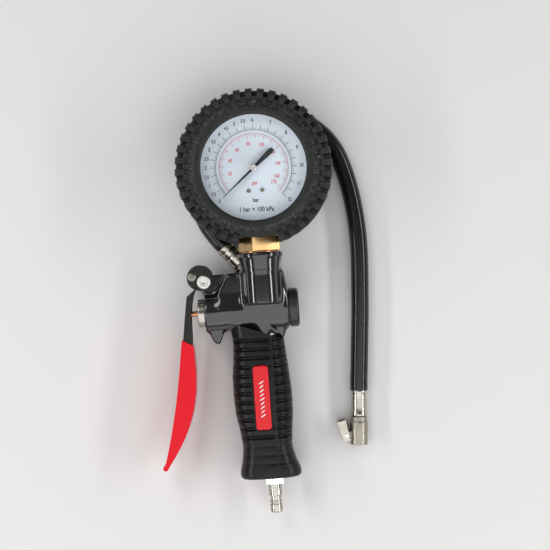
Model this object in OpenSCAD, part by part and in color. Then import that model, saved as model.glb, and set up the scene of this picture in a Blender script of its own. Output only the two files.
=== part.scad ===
// Tyre inflator with a dial gauge, a squeeze lever and a hose with a clip-on chuck.
// The tool lies on its back: +Z is the side that the dial faces, +Y points along the tool
// from the air inlet to the gauge, and the hose hangs on the +X side.
// The origin is the centre of the tool's footprint, on the surface it lies on.

/* [Gauge] */
// Outer radius of the rubber boot around the gauge
boot_r = 54.5; // [53:0.5:55]
// Radius of the dial that shows inside the boot
dial_view_r = 36.5; // [34:0.5:37]
// Number of tread lugs around the boot
boot_lugs = 40; // [24:2:48]
// Sweep of the pointer, in degrees
pointer_sweep = 270; // [180:10:270]
// Number of teeth on the pointer's pinion
pinion_teeth = 10; // [8:1:12]

/* [Body] */
// Radius of the valve chamber
chamber_r = 14; // [13:0.5:15]
// Radius of the cast neck that carries the gauge
neck_r = 13; // [12:0.5:14]
// Across flats of the square brass coupling
coupling_af = 22; // [19:1:24]
// Turn of the square coupling about the neck, in degrees
coupling_turn = 27; // [0:1:45]
// Radius of the handle core inside the grip
core_r = 11.5; // [10:0.5:12]

/* [Lever] */
// Overall width of the pressed steel lever
lever_w = 16; // [15:0.5:18]
// Sheet thickness of the lever
lever_t = 1.8; // [1.5:0.1:2]
// Thickness of the vinyl sleeve on the lever
sleeve_t = 1; // [0.6:0.1:1.4]

/* [Hose and chuck] */
// Outside diameter of the hose
hose_d = 12.7; // [12:0.1:12.7]
// Radius of the bore that takes the tyre valve
valve_bore_r = 4; // [3.9:0.05:4.2]
// Radius of the chuck head
chuck_r = 6.3; // [6:0.1:6.3]

/* [Inlet] */
// Radius of the nose of the air inlet plug
nose_r = 4.4; // [4:0.1:4.6]
// Across flats of the inlet plug
plug_af = 13; // [12:1:14]

/* [Hidden] */
$fn = 64;

// Gauge: axis along Z, with the stem on the neck's axis
gauge_x = 12;
gauge_y = 94;
// direction in which the pointer rests, on the zero of the scale
zero_angle = 220.8;
boot_z = 15;
front_z = 54;
case_r = 38.5;
case_back_z = 17.5;
dial_z = 44;
neck_x = 12;
neck_z = 31;
collar_y = 35.4;
collar_r = 15.8;
coupling_y = 36.2;
stem_r = 7;

// Pointer gearing: the sector turns the pinion, which carries the pointer
gear_module = 0.35;
gear_ratio = 10;
pinion_r = gear_module * pinion_teeth / 2;
sector_r = pinion_r * gear_ratio;
gear_gap = 0.06;
sector_y = gauge_y - pinion_r - sector_r - gear_gap;
gear_z = 36.4;
gear_t = 1.2;
arbor_r = 0.8;
tail_r = 8;
plate_low_z = 33;
plate_top_z = 40;
plate_t = 1.2;
bourdon_r = 29;
bourdon_start = -10;
bourdon_sweep = 270;

// Body: valve chamber along X, handle along -Y
chamber_y = -4.6;
chamber_z = 20;
chamber_x1 = -29.5;
chamber_x2 = 29.4;
handle_x = 9;
handle_z = 17.5;
handle_end_y = -123.3;
inlet_x = 11.3;
grip_tilt = -20.6;
grip_corner = [-13.2, -12];

// Lever and valve
pivot = [-28.7, 17.4];
lever_z = chamber_z;
ear_centre = [-31.5, 20.5];
ear_r = 9;
stop_at = [-36.9, 21.5];
pin_r = 2;
running = 0.05;

// Hose: the gun's port, the route and the chuck's frame
port_exit = [-13, 42, 7.3];
port_turn = 40;
chuck_at = [75.9, -67.3, 6.4];
chuck_turn = -4;
hose_route = [
    [-13, 42, 7.3], [-17.2, 47, 7.3], [-24.5, 58.5, 6.8], [-28.5, 71.5, 6.4], [-29.5, 85, 6.4],
    [-26.5, 98, 6.4], [-20.5, 110.5, 6.4], [-12, 120.5, 6.4], [-0.5, 128.5, 6.4],
    [12, 133, 6.4], [25.5, 134, 6.4], [39, 131.5, 6.4], [51.5, 126, 6.4], [62, 117.5, 6.4],
    [70, 106.5, 6.4], [75, 94, 6.4], [78.5, 80.5, 6.4], [81, 66, 6.4], [82.5, 51, 6.4],
    [83, 35, 6.4], [82.5, 19, 6.4], [81.5, 3, 6.4], [80.5, -13, 6.4], [79, -30, 6.4],
    [77.5, -48, 6.4], [76.48, -59, 6.4], [75.9, -67.3, 6.4]
];

// ---------- shared shapes ----------

// Cylinder along X between two stations
module along_x(x1, x2, y, z, r) {
    translate([x1, y, z]) rotate([0, 90, 0]) cylinder(h = x2 - x1, r = r);
}

// Cylinder or cone along Y between two stations
module along_y(y1, y2, x, z, r, r2 = undef) {
    translate([x, y1, z]) rotate([-90, 0, 0])
        cylinder(h = y2 - y1, r1 = r, r2 = is_undef(r2) ? r : r2);
}

// Upright cylinder between two heights
module upright(x, y, z1, z2, r) {
    translate([x, y, z1]) cylinder(h = z2 - z1, r = r);
}

// Straight drilling between two points
module drilling(p1, p2, r) {
    v = p2 - p1;
    len = norm(v);
    translate(p1) rotate([0, acos(v[2] / len), atan2(v[1], v[0])]) cylinder(h = len, r = r);
}

// Hexagonal prism along Y, with two flats facing +X and -X, or +Z and -Z for a turn of 0
module hex_y(y1, y2, x, z, af, turn = 30) {
    translate([x, y1, z]) rotate([-90, 0, 0]) rotate([0, 0, turn])
        cylinder(h = y2 - y1, r = af / sqrt(3), $fn = 6);
}

// Place children on the gauge's axis
module at_gauge() {
    translate([gauge_x, gauge_y, 0]) children();
}

// Place children on the hose port: local +Y points out of the body
module at_port() {
    translate(port_exit) rotate([0, 0, port_turn]) children();
}

// Place children on the chuck: local -Y points out of the valve mouth
module at_chuck() {
    translate(chuck_at) rotate([0, 0, chuck_turn]) children();
}

// Revolved ring with a rectangular section
module ring(r1, r2, z1, z2) {
    translate([0, 0, z1]) difference() {
        cylinder(h = z2 - z1, r = r2);
        translate([0, 0, -1]) cylinder(h = z2 - z1 + 2, r = r1);
    }
}

// Ring of flat washer shape along Y
module washer_y(y1, y2, x, z, r1, r2) {
    translate([x, y1, z]) rotate([-90, 0, 0]) ring(r1, r2, 0, y2 - y1);
}

function bezier(p, t) = pow(1 - t, 3) * p[0] + 3 * t * pow(1 - t, 2) * p[1]
    + 3 * t * t * (1 - t) * p[2] + pow(t, 3) * p[3];

function unit(v) = v / norm(v);

// Direction of a route at point i
function heading(path, i) =
    unit(path[min(i + 1, len(path) - 1)] - path[max(i - 1, 0)]);

// Two axes square to a direction
function side_axis(d) = unit(cross(d, abs(d[2]) > 0.9 ? [1, 0, 0] : [0, 0, 1]));

// Closed round tube swept along a path, as one polyhedron
module swept_tube(path, r, sides = 8) {
    rings = len(path);
    points = [for (i = [0 : rings - 1])
        let (d = heading(path, i), a = side_axis(d), b = cross(a, d))
        for (k = [0 : sides - 1])
            path[i] + r * (cos(360 * k / sides) * a + sin(360 * k / sides) * b)];
    walls = [for (i = [0 : rings - 2]) for (k = [0 : sides - 1])
        let (n = (k + 1) % sides)
        [i * sides + k, i * sides + n, (i + 1) * sides + n, (i + 1) * sides + k]];
    start = [for (k = [sides - 1 : -1 : 0]) k];
    finish = [for (k = [0 : sides - 1]) (rings - 1) * sides + k];
    polyhedron(points = points, faces = concat(walls, [start, finish]), convexity = 10);
}

// Points of a helix about Z
function helix(r, pitch, turns, steps) =
    [for (i = [0 : turns * steps]) [r * cos(360 * i / steps), r * sin(360 * i / steps),
        pitch * i / steps]];

// ---------- gauge ----------

module gauge_boot() {
    slot_w = 3.4;
    slot_depth = 5.5;
    notch_w = 31;
    color([0.1, 0.1, 0.1]) difference() {
        at_gauge() rotate_extrude() polygon([[30, boot_z], [50, boot_z], [boot_r, boot_z + 4],
            [boot_r, front_z - 4], [52, front_z], [47, front_z], [42, front_z - 1],
            [dial_view_r, 52.6], [dial_view_r, 51.6], [40, 51.6], [40, 44], [case_r, 44],
            [case_r, case_back_z], [30, case_back_z]]);
        at_gauge() for (i = [0 : boot_lugs - 1]) rotate([0, 0, (i + 0.5) * 360 / boot_lugs]) {
            translate([boot_r - slot_depth, -slot_w / 2, 38])
                cube([slot_depth + 1, slot_w, 20]);
            rotate([0, 0, 180 / boot_lugs]) translate([boot_r - slot_depth, -slot_w / 2, 10])
                cube([slot_depth + 1, slot_w, 20]);
        }
        translate([neck_x - notch_w / 2, gauge_y - 60, 0]) cube([notch_w, 23, 46.5]);
        translate([neck_x - notch_w / 2, gauge_y - 60, 0]) cube([notch_w, 12, 60]);
    }
}

module gauge_case() {
    color([0.15, 0.15, 0.15]) difference() {
        at_gauge() difference() {
            upright(0, 0, case_back_z, 47, case_r);
            upright(0, 0, case_back_z + 1, 50, case_r - 1);
        }
        along_y(gauge_y - 45, gauge_y - 30, neck_x, neck_z, stem_r);
    }
}

module bezel_ring() {
    color([0.12, 0.12, 0.12]) at_gauge() rotate_extrude() polygon([[case_r, 44], [40, 44],
        [40, 51.6], [36.8, 51.6], [36.8, 50.6], [39, 50.6], [39, 47], [case_r, 47]]);
}

module gauge_lens() {
    color([0.8, 0.9, 0.95, 0.4]) at_gauge() upright(0, 0, 48.4, 50.6, 39);
}

module lens_gasket() {
    color([0.2, 0.2, 0.2]) at_gauge() ring(37, 39, 47, 48.4);
}

module gauge_dial() {
    color([0.93, 0.95, 0.97]) difference() {
        at_gauge() upright(0, 0, dial_z - 0.8, dial_z, case_r - 1.2);
        at_gauge() upright(0, 0, dial_z - 2, dial_z + 1, 1.6);
        for (side = [-1, 1])
            upright(gauge_x + side * 4.7, gauge_y - 15.7, dial_z - 2, dial_z + 1, 0.8);
    }
}

module dial_screws() {
    color([0.75, 0.75, 0.72]) for (side = [-1, 1]) difference() {
        union() {
            upright(gauge_x + side * 4.7, gauge_y - 15.7, dial_z, dial_z + 0.8, 1.5);
            upright(gauge_x + side * 4.7, gauge_y - 15.7, plate_top_z + plate_t, dial_z, 0.8);
        }
        translate([gauge_x + side * 4.7 - 2, gauge_y - 15.9, dial_z + 0.5]) cube([4, 0.4, 1]);
    }
}

module pointer() {
    color([0.08, 0.08, 0.08]) at_gauge() difference() {
        union() {
            rotate([0, 0, zero_angle]) translate([0, 0, 46.2]) linear_extrude(0.6)
                polygon([[-3, -1.05], [-3, 1.05], [28.8, 0.2], [28.8, -0.2]]);
            rotate([0, 0, zero_angle + 180]) translate([0, 0, 46.2]) linear_extrude(0.6)
                polygon([[2, -1.15], [16.6, -1.9], [18.6, -1], [18.6, 1], [16.6, 1.9],
                    [2, 1.15]]);
            upright(0, 0, 46.2, 46.8, 2.4);
        }
        upright(0, 0, 45, 48, 1.2);
    }
}

module pointer_hub() {
    color([0.8, 0.75, 0.65]) at_gauge() {
        upright(0, 0, 45.6, 46.8, 1.2);
        upright(0, 0, 46.8, 47.6, 2.3);
    }
}

// One tooth of the pointer gearing, pointing along +X, with its root at radius r
module gear_tooth(r, width) {
    root = 0.55 * gear_module;
    tip = 0.75 * gear_module;
    polygon([[r - root - 0.3, -width * 0.62], [r - root - 0.3, width * 0.62],
        [r + tip, width * 0.22], [r + tip, -width * 0.22]]);
}

module pinion_arbor() {
    tooth_w = PI * gear_module * 0.62;
    color([0.78, 0.62, 0.3]) at_gauge() {
        upright(0, 0, 32, 45.6, arbor_r);
        translate([0, 0, gear_z - 0.3]) difference() {
            linear_extrude(gear_t + 0.6) union() {
                circle(pinion_r - 0.6 * gear_module);
                for (i = [0 : pinion_teeth - 1])
                    rotate([0, 0, 270 + i * 360 / pinion_teeth])
                        gear_tooth(pinion_r, tooth_w);
            }
            translate([0, 0, -1]) cylinder(h = 5, r = arbor_r);
        }
    }
}

module sector_gear() {
    tooth_w = PI * gear_module * 0.62;
    step = 360 / (pinion_teeth * gear_ratio);
    color([0.8, 0.65, 0.32]) translate([gauge_x, sector_y, gear_z]) difference() {
        union() {
            linear_extrude(gear_t) {
                difference() {
                    union() {
                        intersection() {
                            circle(sector_r - 0.6 * gear_module);
                            polygon([[0, 0], [9.5, 19], [0, 22], [-2, 20]]);
                        }
                        circle(2.6);
                    }
                    intersection() {
                        circle(sector_r - 3);
                        polygon([[1.3, 4.6], [6, 15], [0.6, 16.5]]);
                    }
                }
                for (i = [-8 : 0]) rotate([0, 0, 90 + (i + 0.5) * step])
                    gear_tooth(sector_r, tooth_w);
                translate([0, -1.4]) square([tail_r, 2.8]);
                translate([tail_r, 0]) circle(1.4);
            }
            translate([0, 0, -2]) cylinder(h = 5.4, r = 1.3);
            translate([tail_r, 0, 0]) cylinder(h = 3, r = 0.6);
        }
        translate([0, 0, -5]) cylinder(h = 12, r = arbor_r);
    }
}

module tip_link() {
    start = [gauge_x + tail_r, sector_y];
    end = [gauge_x, gauge_y] + (bourdon_r - 1.5) * [cos(bourdon_start), sin(bourdon_start)];
    along = end - start;
    color([0.8, 0.7, 0.4]) translate([start[0], start[1], gear_z + gear_t + 0.3])
        rotate([0, 0, atan2(along[1], along[0])]) difference() {
            union() {
                translate([0, -0.9, 0]) cube([norm(along), 1.8, 0.6]);
                for (x = [0, norm(along)]) translate([x, 0, 0]) cylinder(h = 0.6, r = 1.5);
            }
            translate([0, 0, -1]) cylinder(h = 3, r = 0.6 + running);
            translate([norm(along), 0, -1]) cylinder(h = 3, r = 0.7);
        }
}

module bourdon_tube() {
    color([0.8, 0.68, 0.36]) at_gauge() {
        rotate([0, 0, bourdon_start]) rotate_extrude(angle = bourdon_sweep) difference() {
            translate([bourdon_r - 1.7, neck_z - 5]) square([3.4, 10]);
            translate([bourdon_r - 1.2, neck_z - 4.5]) square([2.4, 9]);
        }
        rotate([0, 0, bourdon_start]) translate([bourdon_r - 3.4, -1.8, neck_z])
            cube([1.7, 3.6, 6]);
    }
}

module gauge_socket() {
    color([0.79, 0.6, 0.3]) difference() {
        union() {
            along_y(coupling_y - 5, gauge_y - 36, neck_x, neck_z, stem_r);
            translate([neck_x - 8, gauge_y - 36.4, neck_z - 8]) cube([16, 4.6, 16]);
            translate([neck_x - 8, gauge_y - 31.8, neck_z - 8]) cube([16, 9.8, 10]);
        }
        along_y(coupling_y - 6, gauge_y - 26, neck_x, neck_z - 3.4, 1.4);
        at_gauge() rotate([0, 0, bourdon_start]) rotate_extrude(angle = bourdon_sweep)
            translate([bourdon_r - 1.7, neck_z - 5]) square([3.4, 10]);
    }
}

// Outline shared by the two movement plates
module plate_outline() {
    translate([0, gauge_y]) polygon([[5, -25.5], [20, -25.5], [23, -20], [21, 6],
        [17, 9.5], [7, 9.5], [2, 5], [1, -20]]);
}

module movement_plates() {
    color([0.82, 0.7, 0.4]) for (z = [plate_low_z, plate_top_z]) difference() {
        translate([0, 0, z]) linear_extrude(plate_t) plate_outline();
        upright(gauge_x, gauge_y, z - 1, z + 3, arbor_r + running);
        upright(gauge_x, sector_y, z - 1, z + 3, arbor_r);
    }
}

module movement_pillars() {
    spots = [[5, gauge_y + 3.5], [19, gauge_y + 3.5], [4, gauge_y - 20], [19, gauge_y - 23.5]];
    color([0.8, 0.7, 0.45]) {
        for (p = spots) upright(p[0], p[1], plate_low_z + plate_t, plate_top_z, 1.4);
        upright(gauge_x, sector_y, plate_low_z, plate_top_z + plate_t, arbor_r - running);
    }
}

module hairspring() {
    turns = 4;
    steps = 24;
    wire = 0.16;
    inner = [for (i = [0 : turns * steps]) let (a = 360 * i / steps, r = 1.2 + 0.9 * i / steps)
        r * [cos(a), sin(a)]];
    outer = [for (i = [turns * steps : -1 : 0])
        let (a = 360 * i / steps, r = 1.2 + wire + 0.9 * i / steps) r * [cos(a), sin(a)]];
    color([0.7, 0.6, 0.35]) at_gauge() translate([0, 0, 38.9]) linear_extrude(0.5)
        polygon(concat(inner, outer));
}

module gauge_coupling() {
    color([0.8, 0.6, 0.3]) difference() {
        union() {
            translate([neck_x, coupling_y, neck_z]) rotate([0, coupling_turn, 0])
                translate([-coupling_af / 2, 0, -coupling_af / 2])
                    cube([coupling_af, 10.3, coupling_af]);
            along_y(28, coupling_y, neck_x, neck_z, 9.5);
        }
        along_y(coupling_y - 5, 60, neck_x, neck_z, stem_r);
        along_y(20, coupling_y, neck_x, neck_z, 3);
    }
}

module coupling_washer() {
    color([0.72, 0.45, 0.3]) washer_y(collar_y, coupling_y, neck_x, neck_z, 9.5, 12.5);
}

// ---------- body ----------

// Lug that carries the lever, forked for the return spring
module lever_lug() {
    lug_z = 11.6;
    difference() {
        translate([0, 0, lever_z - lug_z / 2]) union() {
            linear_extrude(lug_z) polygon([[-32.9, 13], [-24, 2], [-14, 2], [-13, 22],
                [-24.3, 21.8], [pivot[0], pivot[1] + 6]]);
            upright(pivot[0], pivot[1], 0, lug_z, 6.2);
        }
        translate([-50, 0, lever_z - 3]) cube([27.5, 40, 6]);
    }
}

module body_casting() {
    color([0.12, 0.12, 0.13]) difference() {
        union() {
            along_x(chamber_x1, chamber_x2, chamber_y, chamber_z, chamber_r);
            translate([0, 0, 7]) linear_extrude(25) polygon([[-20, chamber_y], [-20, 9],
                [-13, 22.2], [27.3, 22.2], [chamber_x2, 9], [chamber_x2, chamber_y]]);
            along_y(0, 26, neck_x, neck_z, neck_r);
            along_y(24, collar_y - 3, neck_x, neck_z, neck_r, collar_r);
            along_y(collar_y - 3, collar_y, neck_x, neck_z, collar_r);
            at_port() along_y(-42, -24, 0, 0, 7.2);
            lever_lug();
            // trigger guard hook and the root of the handle
            translate([0, 0, 12]) linear_extrude(14) polygon([[-29.5, -8], [-28.9, -14.8],
                [-24.8, -25.4], [-21.4, -27.7], [-19.5, -25.5], [-16.5, -17.5],
                grip_corner, [-12, -4]]);
            translate([0, 0, 5.5]) linear_extrude(24) polygon([[-20, chamber_y], grip_corner,
                [24.9, -26.3], [28.2, -16.5], [chamber_x2, chamber_y]]);
            along_y(handle_end_y, chamber_y, handle_x, handle_z, core_r);
        }
        // valve chamber
        along_x(-1, chamber_x2 + 1, chamber_y, chamber_z, 9);
        along_x(-4, -1, chamber_y, chamber_z, 9);
        along_x(-20, -4, chamber_y, chamber_z, 6);
        along_x(chamber_x1 - 1, -20, chamber_y, chamber_z, 8);
        // inlet passage
        along_y(handle_end_y - 1, -110, inlet_x, handle_z, 4.8);
        along_y(-111, -8, inlet_x, handle_z, 3.2);
        // gauge seat and the passages to the gauge and the hose
        along_y(28, collar_y + 1, neck_x, neck_z, 9.5);
        drilling([neck_x, 29, neck_z], [-11, chamber_y, chamber_z], 2.5);
        at_port() along_y(-36, -23, 0, 0, 4.5);
        at_port() along_y(-24, -12, 0, 0, 8.4);
        drilling([9.5, 15.2, 7.3], [-13, chamber_y, 17], 2);
        // pivot hole
        upright(pivot[0], pivot[1], 0, 40, 3);
    }
}

module end_cap() {
    color([0.25, 0.26, 0.27]) difference() {
        union() {
            along_x(chamber_x2 + 0.8, 35.6, chamber_y, chamber_z, 13.7);
            translate([35.6, chamber_y, chamber_z]) rotate([0, 90, 0])
                cylinder(h = 1.2, r1 = 13.7, r2 = 12.6);
            along_x(20, chamber_x2 + 0.8, chamber_y, chamber_z, 9);
        }
        along_x(19, 26, chamber_y, chamber_z, 6.5);
        translate([32.5, chamber_y, chamber_z]) rotate([0, 90, 0])
            cylinder(h = 6, r = 5.8, $fn = 6);
    }
}

module end_cap_seal() {
    color([0.1, 0.1, 0.1]) translate([chamber_x2, chamber_y, chamber_z]) rotate([0, 90, 0])
        ring(9, 12.6, 0, 0.8);
}

module gland_nut() {
    color([0.8, 0.79, 0.76]) difference() {
        union() {
            along_x(-34.2, chamber_x1, chamber_y, chamber_z, 10);
            along_x(chamber_x1, -20, chamber_y, chamber_z, 8);
        }
        along_x(-40, -24, chamber_y, chamber_z, pin_r + running);
        along_x(-24, -19, chamber_y, chamber_z, 4.2);
    }
}

module pin_seal() {
    color([0.15, 0.15, 0.15]) translate([-24, chamber_y, chamber_z]) rotate([0, 90, 0])
        ring(pin_r + 0.08, 4.2, 0, 3.2);
}

module push_pin() {
    color([0.72, 0.45, 0.3]) {
        along_x(-40.2, -0.8, chamber_y, chamber_z, pin_r);
        translate([-41.2, chamber_y, chamber_z]) rotate([0, 90, 0])
            cylinder(h = 1, r1 = 1.3, r2 = pin_r);
    }
}

module valve_poppet() {
    color([0.8, 0.65, 0.35]) {
        along_x(-0.8, 6, chamber_y, chamber_z, 6.4);
        along_x(6, 9, chamber_y, chamber_z, 3.8);
    }
}

module valve_seat() {
    color([0.3, 0.3, 0.3]) translate([-4, chamber_y, chamber_z]) rotate([0, 90, 0])
        ring(4, 9, 0, 3);
}

module valve_spring() {
    coil = helix(5, 3.34, 5, 14);
    color([0.7, 0.7, 0.72]) translate([6.7, chamber_y, chamber_z]) rotate([0, 90, 0])
        swept_tube(coil, 0.6, 6);
}

// ---------- lever ----------

outer_edge = [[-41.5, 8], [-48, -30], [-49.5, -64], [-64.5, -112.5]];
inner_top = [[-35, 13], [-41, 2], [-39, -16], [-40.2, -26.8]];
inner_low = [[-40.2, -26.8], [-38.5, -55], [-39, -80], [-64.3, -112.9]];

// Outline of the lever in plan between two stations of its edges, grown sideways
module lever_outline(t_top, grow) {
    outer = [for (i = [0 : 14]) bezier(outer_edge, t_top + (1 - t_top) * i / 14)
        + [-grow, 0]];
    low = [for (i = [12 : -1 : 0]) bezier(inner_low, i / 12) + [grow, 0]];
    top = t_top > 0 ? [] : [for (i = [8 : -1 : 0]) bezier(inner_top, i / 8)];
    polygon(concat(outer, low, top));
}

module lever() {
    low_z = lever_z - lever_w / 2;
    color([0.2, 0.2, 0.21]) difference() {
        translate([0, 0, low_z]) linear_extrude(lever_w) union() {
            lever_outline(0, 0);
            translate(ear_centre) circle(ear_r);
        }
        // trough between the cheeks, open towards the handle
        translate([0, 0, low_z + lever_t]) linear_extrude(lever_w - 2 * lever_t)
            polygon(concat([for (i = [0 : 14]) bezier(outer_edge, i / 14) + [lever_t, 0]],
                [[0, -112.5], [0, 40], [-60, 40], [-60, 6]]));
        upright(pivot[0], pivot[1], 0, 40, 3 + running);
        upright(stop_at[0], stop_at[1], 0, 40, 2.2);
    }
}

module lever_sleeve() {
    low_z = lever_z - lever_w / 2;
    color([0.85, 0.1, 0.12]) difference() {
        translate([0, 0, low_z - sleeve_t]) linear_extrude(lever_w + 2 * sleeve_t) union() {
            lever_outline(0.27, sleeve_t);
            translate([-64.4, -111.6]) circle(1.9);
        }
        translate([0, 0, low_z]) linear_extrude(lever_w) lever_outline(0, 0);
    }
}

module pivot_pin() {
    color([0.85, 0.85, 0.84]) {
        upright(pivot[0], pivot[1], lever_z - 10.2, lever_z + 8.3, 3);
        upright(pivot[0], pivot[1], lever_z + 8.3, lever_z + 10.4, 5);
    }
}

module pivot_clip() {
    color([0.6, 0.6, 0.6]) translate([pivot[0], pivot[1], 0])
        ring(3, 5, lever_z - 9.8, lever_z - 8.4);
}

module stop_rivet() {
    color([0.6, 0.59, 0.57]) {
        upright(stop_at[0], stop_at[1], lever_z - 8, lever_z + 8, 2.2);
        upright(stop_at[0], stop_at[1], lever_z + 8, lever_z + 9.2, 3.1);
        upright(stop_at[0], stop_at[1], lever_z - 9.2, lever_z - 8, 3.1);
    }
}

module lever_spring() {
    coil = helix(4.3, 1.15, 4, 12);
    lead_out = [[4.3, 1.6, 4.6], [4.3, 3.2, 4.6]];
    color([0.7, 0.7, 0.72]) translate([pivot[0], pivot[1], lever_z - 2.3])
        rotate([0, 0, -38]) swept_tube(concat([for (i = [0 : 48]) coil[i]], lead_out), 0.5, 6);
}

// ---------- handle ----------

// Grip stations from top to bottom: y, left edge, right edge, half thickness
grip_stations = [
    [-6, -14, 25.5, 15.6], [-26, -11.4, 24.8, 15.8], [-38, -12, 25.8, 16.6],
    [-50, -13.4, 27, 17.2], [-64, -13.7, 27.9, 17.4], [-78, -12.9, 27.7, 17.3],
    [-90, -10.6, 26.4, 16.8], [-102, -9.3, 25.4, 16.4], [-112, -10.8, 28, 16.9],
    [-119, -12.7, 31.2, 17.3], [-123.3, -12, 30.6, 16.6]
];

// Rounded oval section of the grip at one station
function grip_section(s, sides) =
    let (cx = (s[1] + s[2]) / 2, a = (s[2] - s[1]) / 2, n = 2 / 2.6)
    [for (k = [0 : sides - 1])
        let (c = cos(360 * k / sides), q = sin(360 * k / sides))
        [cx + a * sign(c) * pow(abs(c), n), s[0],
            handle_z + s[3] * sign(q) * pow(abs(q), n)]];

module grip_solid() {
    sides = 28;
    rows = len(grip_stations);
    points = [for (s = grip_stations) each grip_section(s, sides)];
    walls = [for (i = [0 : rows - 2]) for (k = [0 : sides - 1])
        let (n = (k + 1) % sides)
        [i * sides + k, (i + 1) * sides + k, (i + 1) * sides + n, i * sides + n]];
    top = [for (k = [0 : sides - 1]) k];
    bottom = [for (k = [sides - 1 : -1 : 0]) (rows - 1) * sides + k];
    polyhedron(points = points, faces = concat(walls, [top, bottom]), convexity = 4);
}

module badge_solid(grow, z1, z2) {
    w = 10.9 / 2 - 2.5;
    l = 45 / 2 - 2.5;
    translate([6.7, -66, z1]) linear_extrude(z2 - z1) union() {
        square([2 * w, 2 * (l + 2.5 + grow)], center = true);
        square([2 * (w + 2.5 + grow), 2 * l], center = true);
        for (x = [-w, w]) for (y = [-l, l]) translate([x, y]) circle(2.5 + grow);
    }
}

module grip_sleeve() {
    color([0.09, 0.09, 0.09]) difference() {
        grip_solid();
        along_y(handle_end_y - 1, 0, handle_x, handle_z, core_r);
        translate([grip_corner[0], grip_corner[1], -5]) rotate([0, 0, grip_tilt])
            translate([-30, 0, 0]) cube([90, 60, 60]);
        along_x(-30, 40, chamber_y, chamber_z, chamber_r);
        badge_solid(0, 33.4, 40);
    }
}

module badge_plate() {
    color([0.85, 0.1, 0.12]) badge_solid(0, 33.4, 36);
}

// ---------- air inlet ----------

module inlet_plug() {
    color([0.78, 0.77, 0.74]) difference() {
        union() {
            along_y(-126, -111, inlet_x, handle_z, 4.8);
            hex_y(-128.6, -124.1, inlet_x, handle_z, plug_af);
            along_y(-137, -127, inlet_x, handle_z, 4.65);
            along_y(-144, -136, inlet_x, handle_z, 3.8);
            along_y(-142, -140.6, inlet_x, handle_z, nose_r);
            along_y(-148.1, -143, inlet_x, handle_z, nose_r);
            along_y(-148.9, -148.1, inlet_x, handle_z, 3.7, nose_r);
        }
        along_y(-150, -110, inlet_x, handle_z, 2.4);
        along_y(-118, -110, inlet_x, handle_z, 3.6);
    }
}

module inlet_washer() {
    color([0.3, 0.3, 0.3]) washer_y(-124.1, handle_end_y, inlet_x, handle_z, 4.8, 7);
}

module inlet_filter() {
    color([0.7, 0.6, 0.4]) washer_y(-117.5, -111.5, inlet_x, handle_z, 2.2, 3.6);
}

// ---------- hose and chuck ----------

module hose_fitting() {
    color([0.75, 0.74, 0.72]) at_port() difference() {
        union() {
            along_y(-35, -22, 0, 0, 4.5);
            hex_y(-24, -18, 0, 0, 14, 0);
            along_y(-20, -2, 0, 0, 3);
        }
        along_y(-37, 2, 0, 0, 1.8);
    }
}

module gun_ferrule() {
    color([0.75, 0.74, 0.72]) at_port() washer_y(-18, 0, 0, 0, 3, 7);
}

module hose() {
    color([0.07, 0.07, 0.07]) swept_tube(hose_route, hose_d / 2, 12);
}

module chuck_ferrule() {
    color([0.78, 0.77, 0.74]) at_chuck() washer_y(-18.6, 0, 0, 0, 3.2, 6.1);
}

module chuck_stem() {
    color([0.7, 0.68, 0.62]) at_chuck() difference() {
        along_y(-19.2, 0, 0, 0, 3.2);
        along_y(-20, -18.6, 0, 0, 1.5);
        along_y(-19, -2, 0, 0, 1.5);
    }
}

module chuck_body() {
    color([0.74, 0.72, 0.68]) at_chuck() difference() {
        union() {
            along_y(-23, -19.2, 0, 0, 5.6);
            along_y(-39.2, -23, 0, 0, chuck_r);
            translate([-10.2, -34.2, -3.2]) cube([7, 4.4, 6.4]);
        }
        along_y(-24, -19, 0, 0, 1.5);
        along_y(-26, -23.5, 0, 0, 1.5);
        along_y(-29.2, -25.2, 0, 0, 5);
        along_y(-40, -29.2, 0, 0, valve_bore_r);
        translate([-11, -38, -2.4]) cube([7.5, 4.2, 4.8]);
        upright(-8.6, -32.5, -10, 10, 1);
    }
}

module chuck_clip() {
    color([0.82, 0.78, 0.68]) at_chuck() difference() {
        union() {
            difference() {
                translate([0, 0, -5]) linear_extrude(10) polygon([[-16, -23.2],
                    [-9.6, -21.4], [-8.2, -28], [-7.2, -31], [-7.2, -34.6], [-8, -36.8],
                    [-10.6, -36.8]]);
                translate([0, 0, -3.6]) linear_extrude(7.2) polygon([[-14.6, -22],
                    [0, -20], [0, -40], [-10, -40], [-10.3, -35.4]]);
            }
            translate([0, 0, -2.1]) linear_extrude(4.2) polygon([[-11, -34.9],
                [-4.4, -34.7], [-4.4, -35.9], [-5.4, -36.3], [-10.6, -36.3]]);
        }
        upright(-8.6, -32.5, -10, 10, 1 + running);
    }
}

module clip_pin() {
    color([0.6, 0.6, 0.6]) at_chuck() {
        upright(-8.6, -32.5, -5.4, 5.4, 1);
        upright(-8.6, -32.5, 5.4, 6, 1.7);
        upright(-8.6, -32.5, -6, -5.4, 1.7);
    }
}

module clip_spring() {
    coil = helix(1.4, 1.06, 5, 12);
    color([0.65, 0.65, 0.65]) at_chuck() translate([-6.9, -26.4, 0]) rotate([0, -90, 0])
        swept_tube(coil, 0.3, 6);
}

module chuck_seal() {
    color([0.12, 0.12, 0.12]) at_chuck() washer_y(-29, -26.4, 0, 0, 2, 5);
}

module valve_depressor() {
    color([0.8, 0.65, 0.35]) at_chuck() {
        difference() {
            along_y(-26.4, -25.2, 0, 0, 5);
            for (a = [0 : 120 : 240]) rotate([0, a, 0]) along_y(-27, -25, 2.8, 0, 1.1);
        }
        along_y(-28.9, -26.4, 0, 0, 0.9);
    }
}

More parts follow.
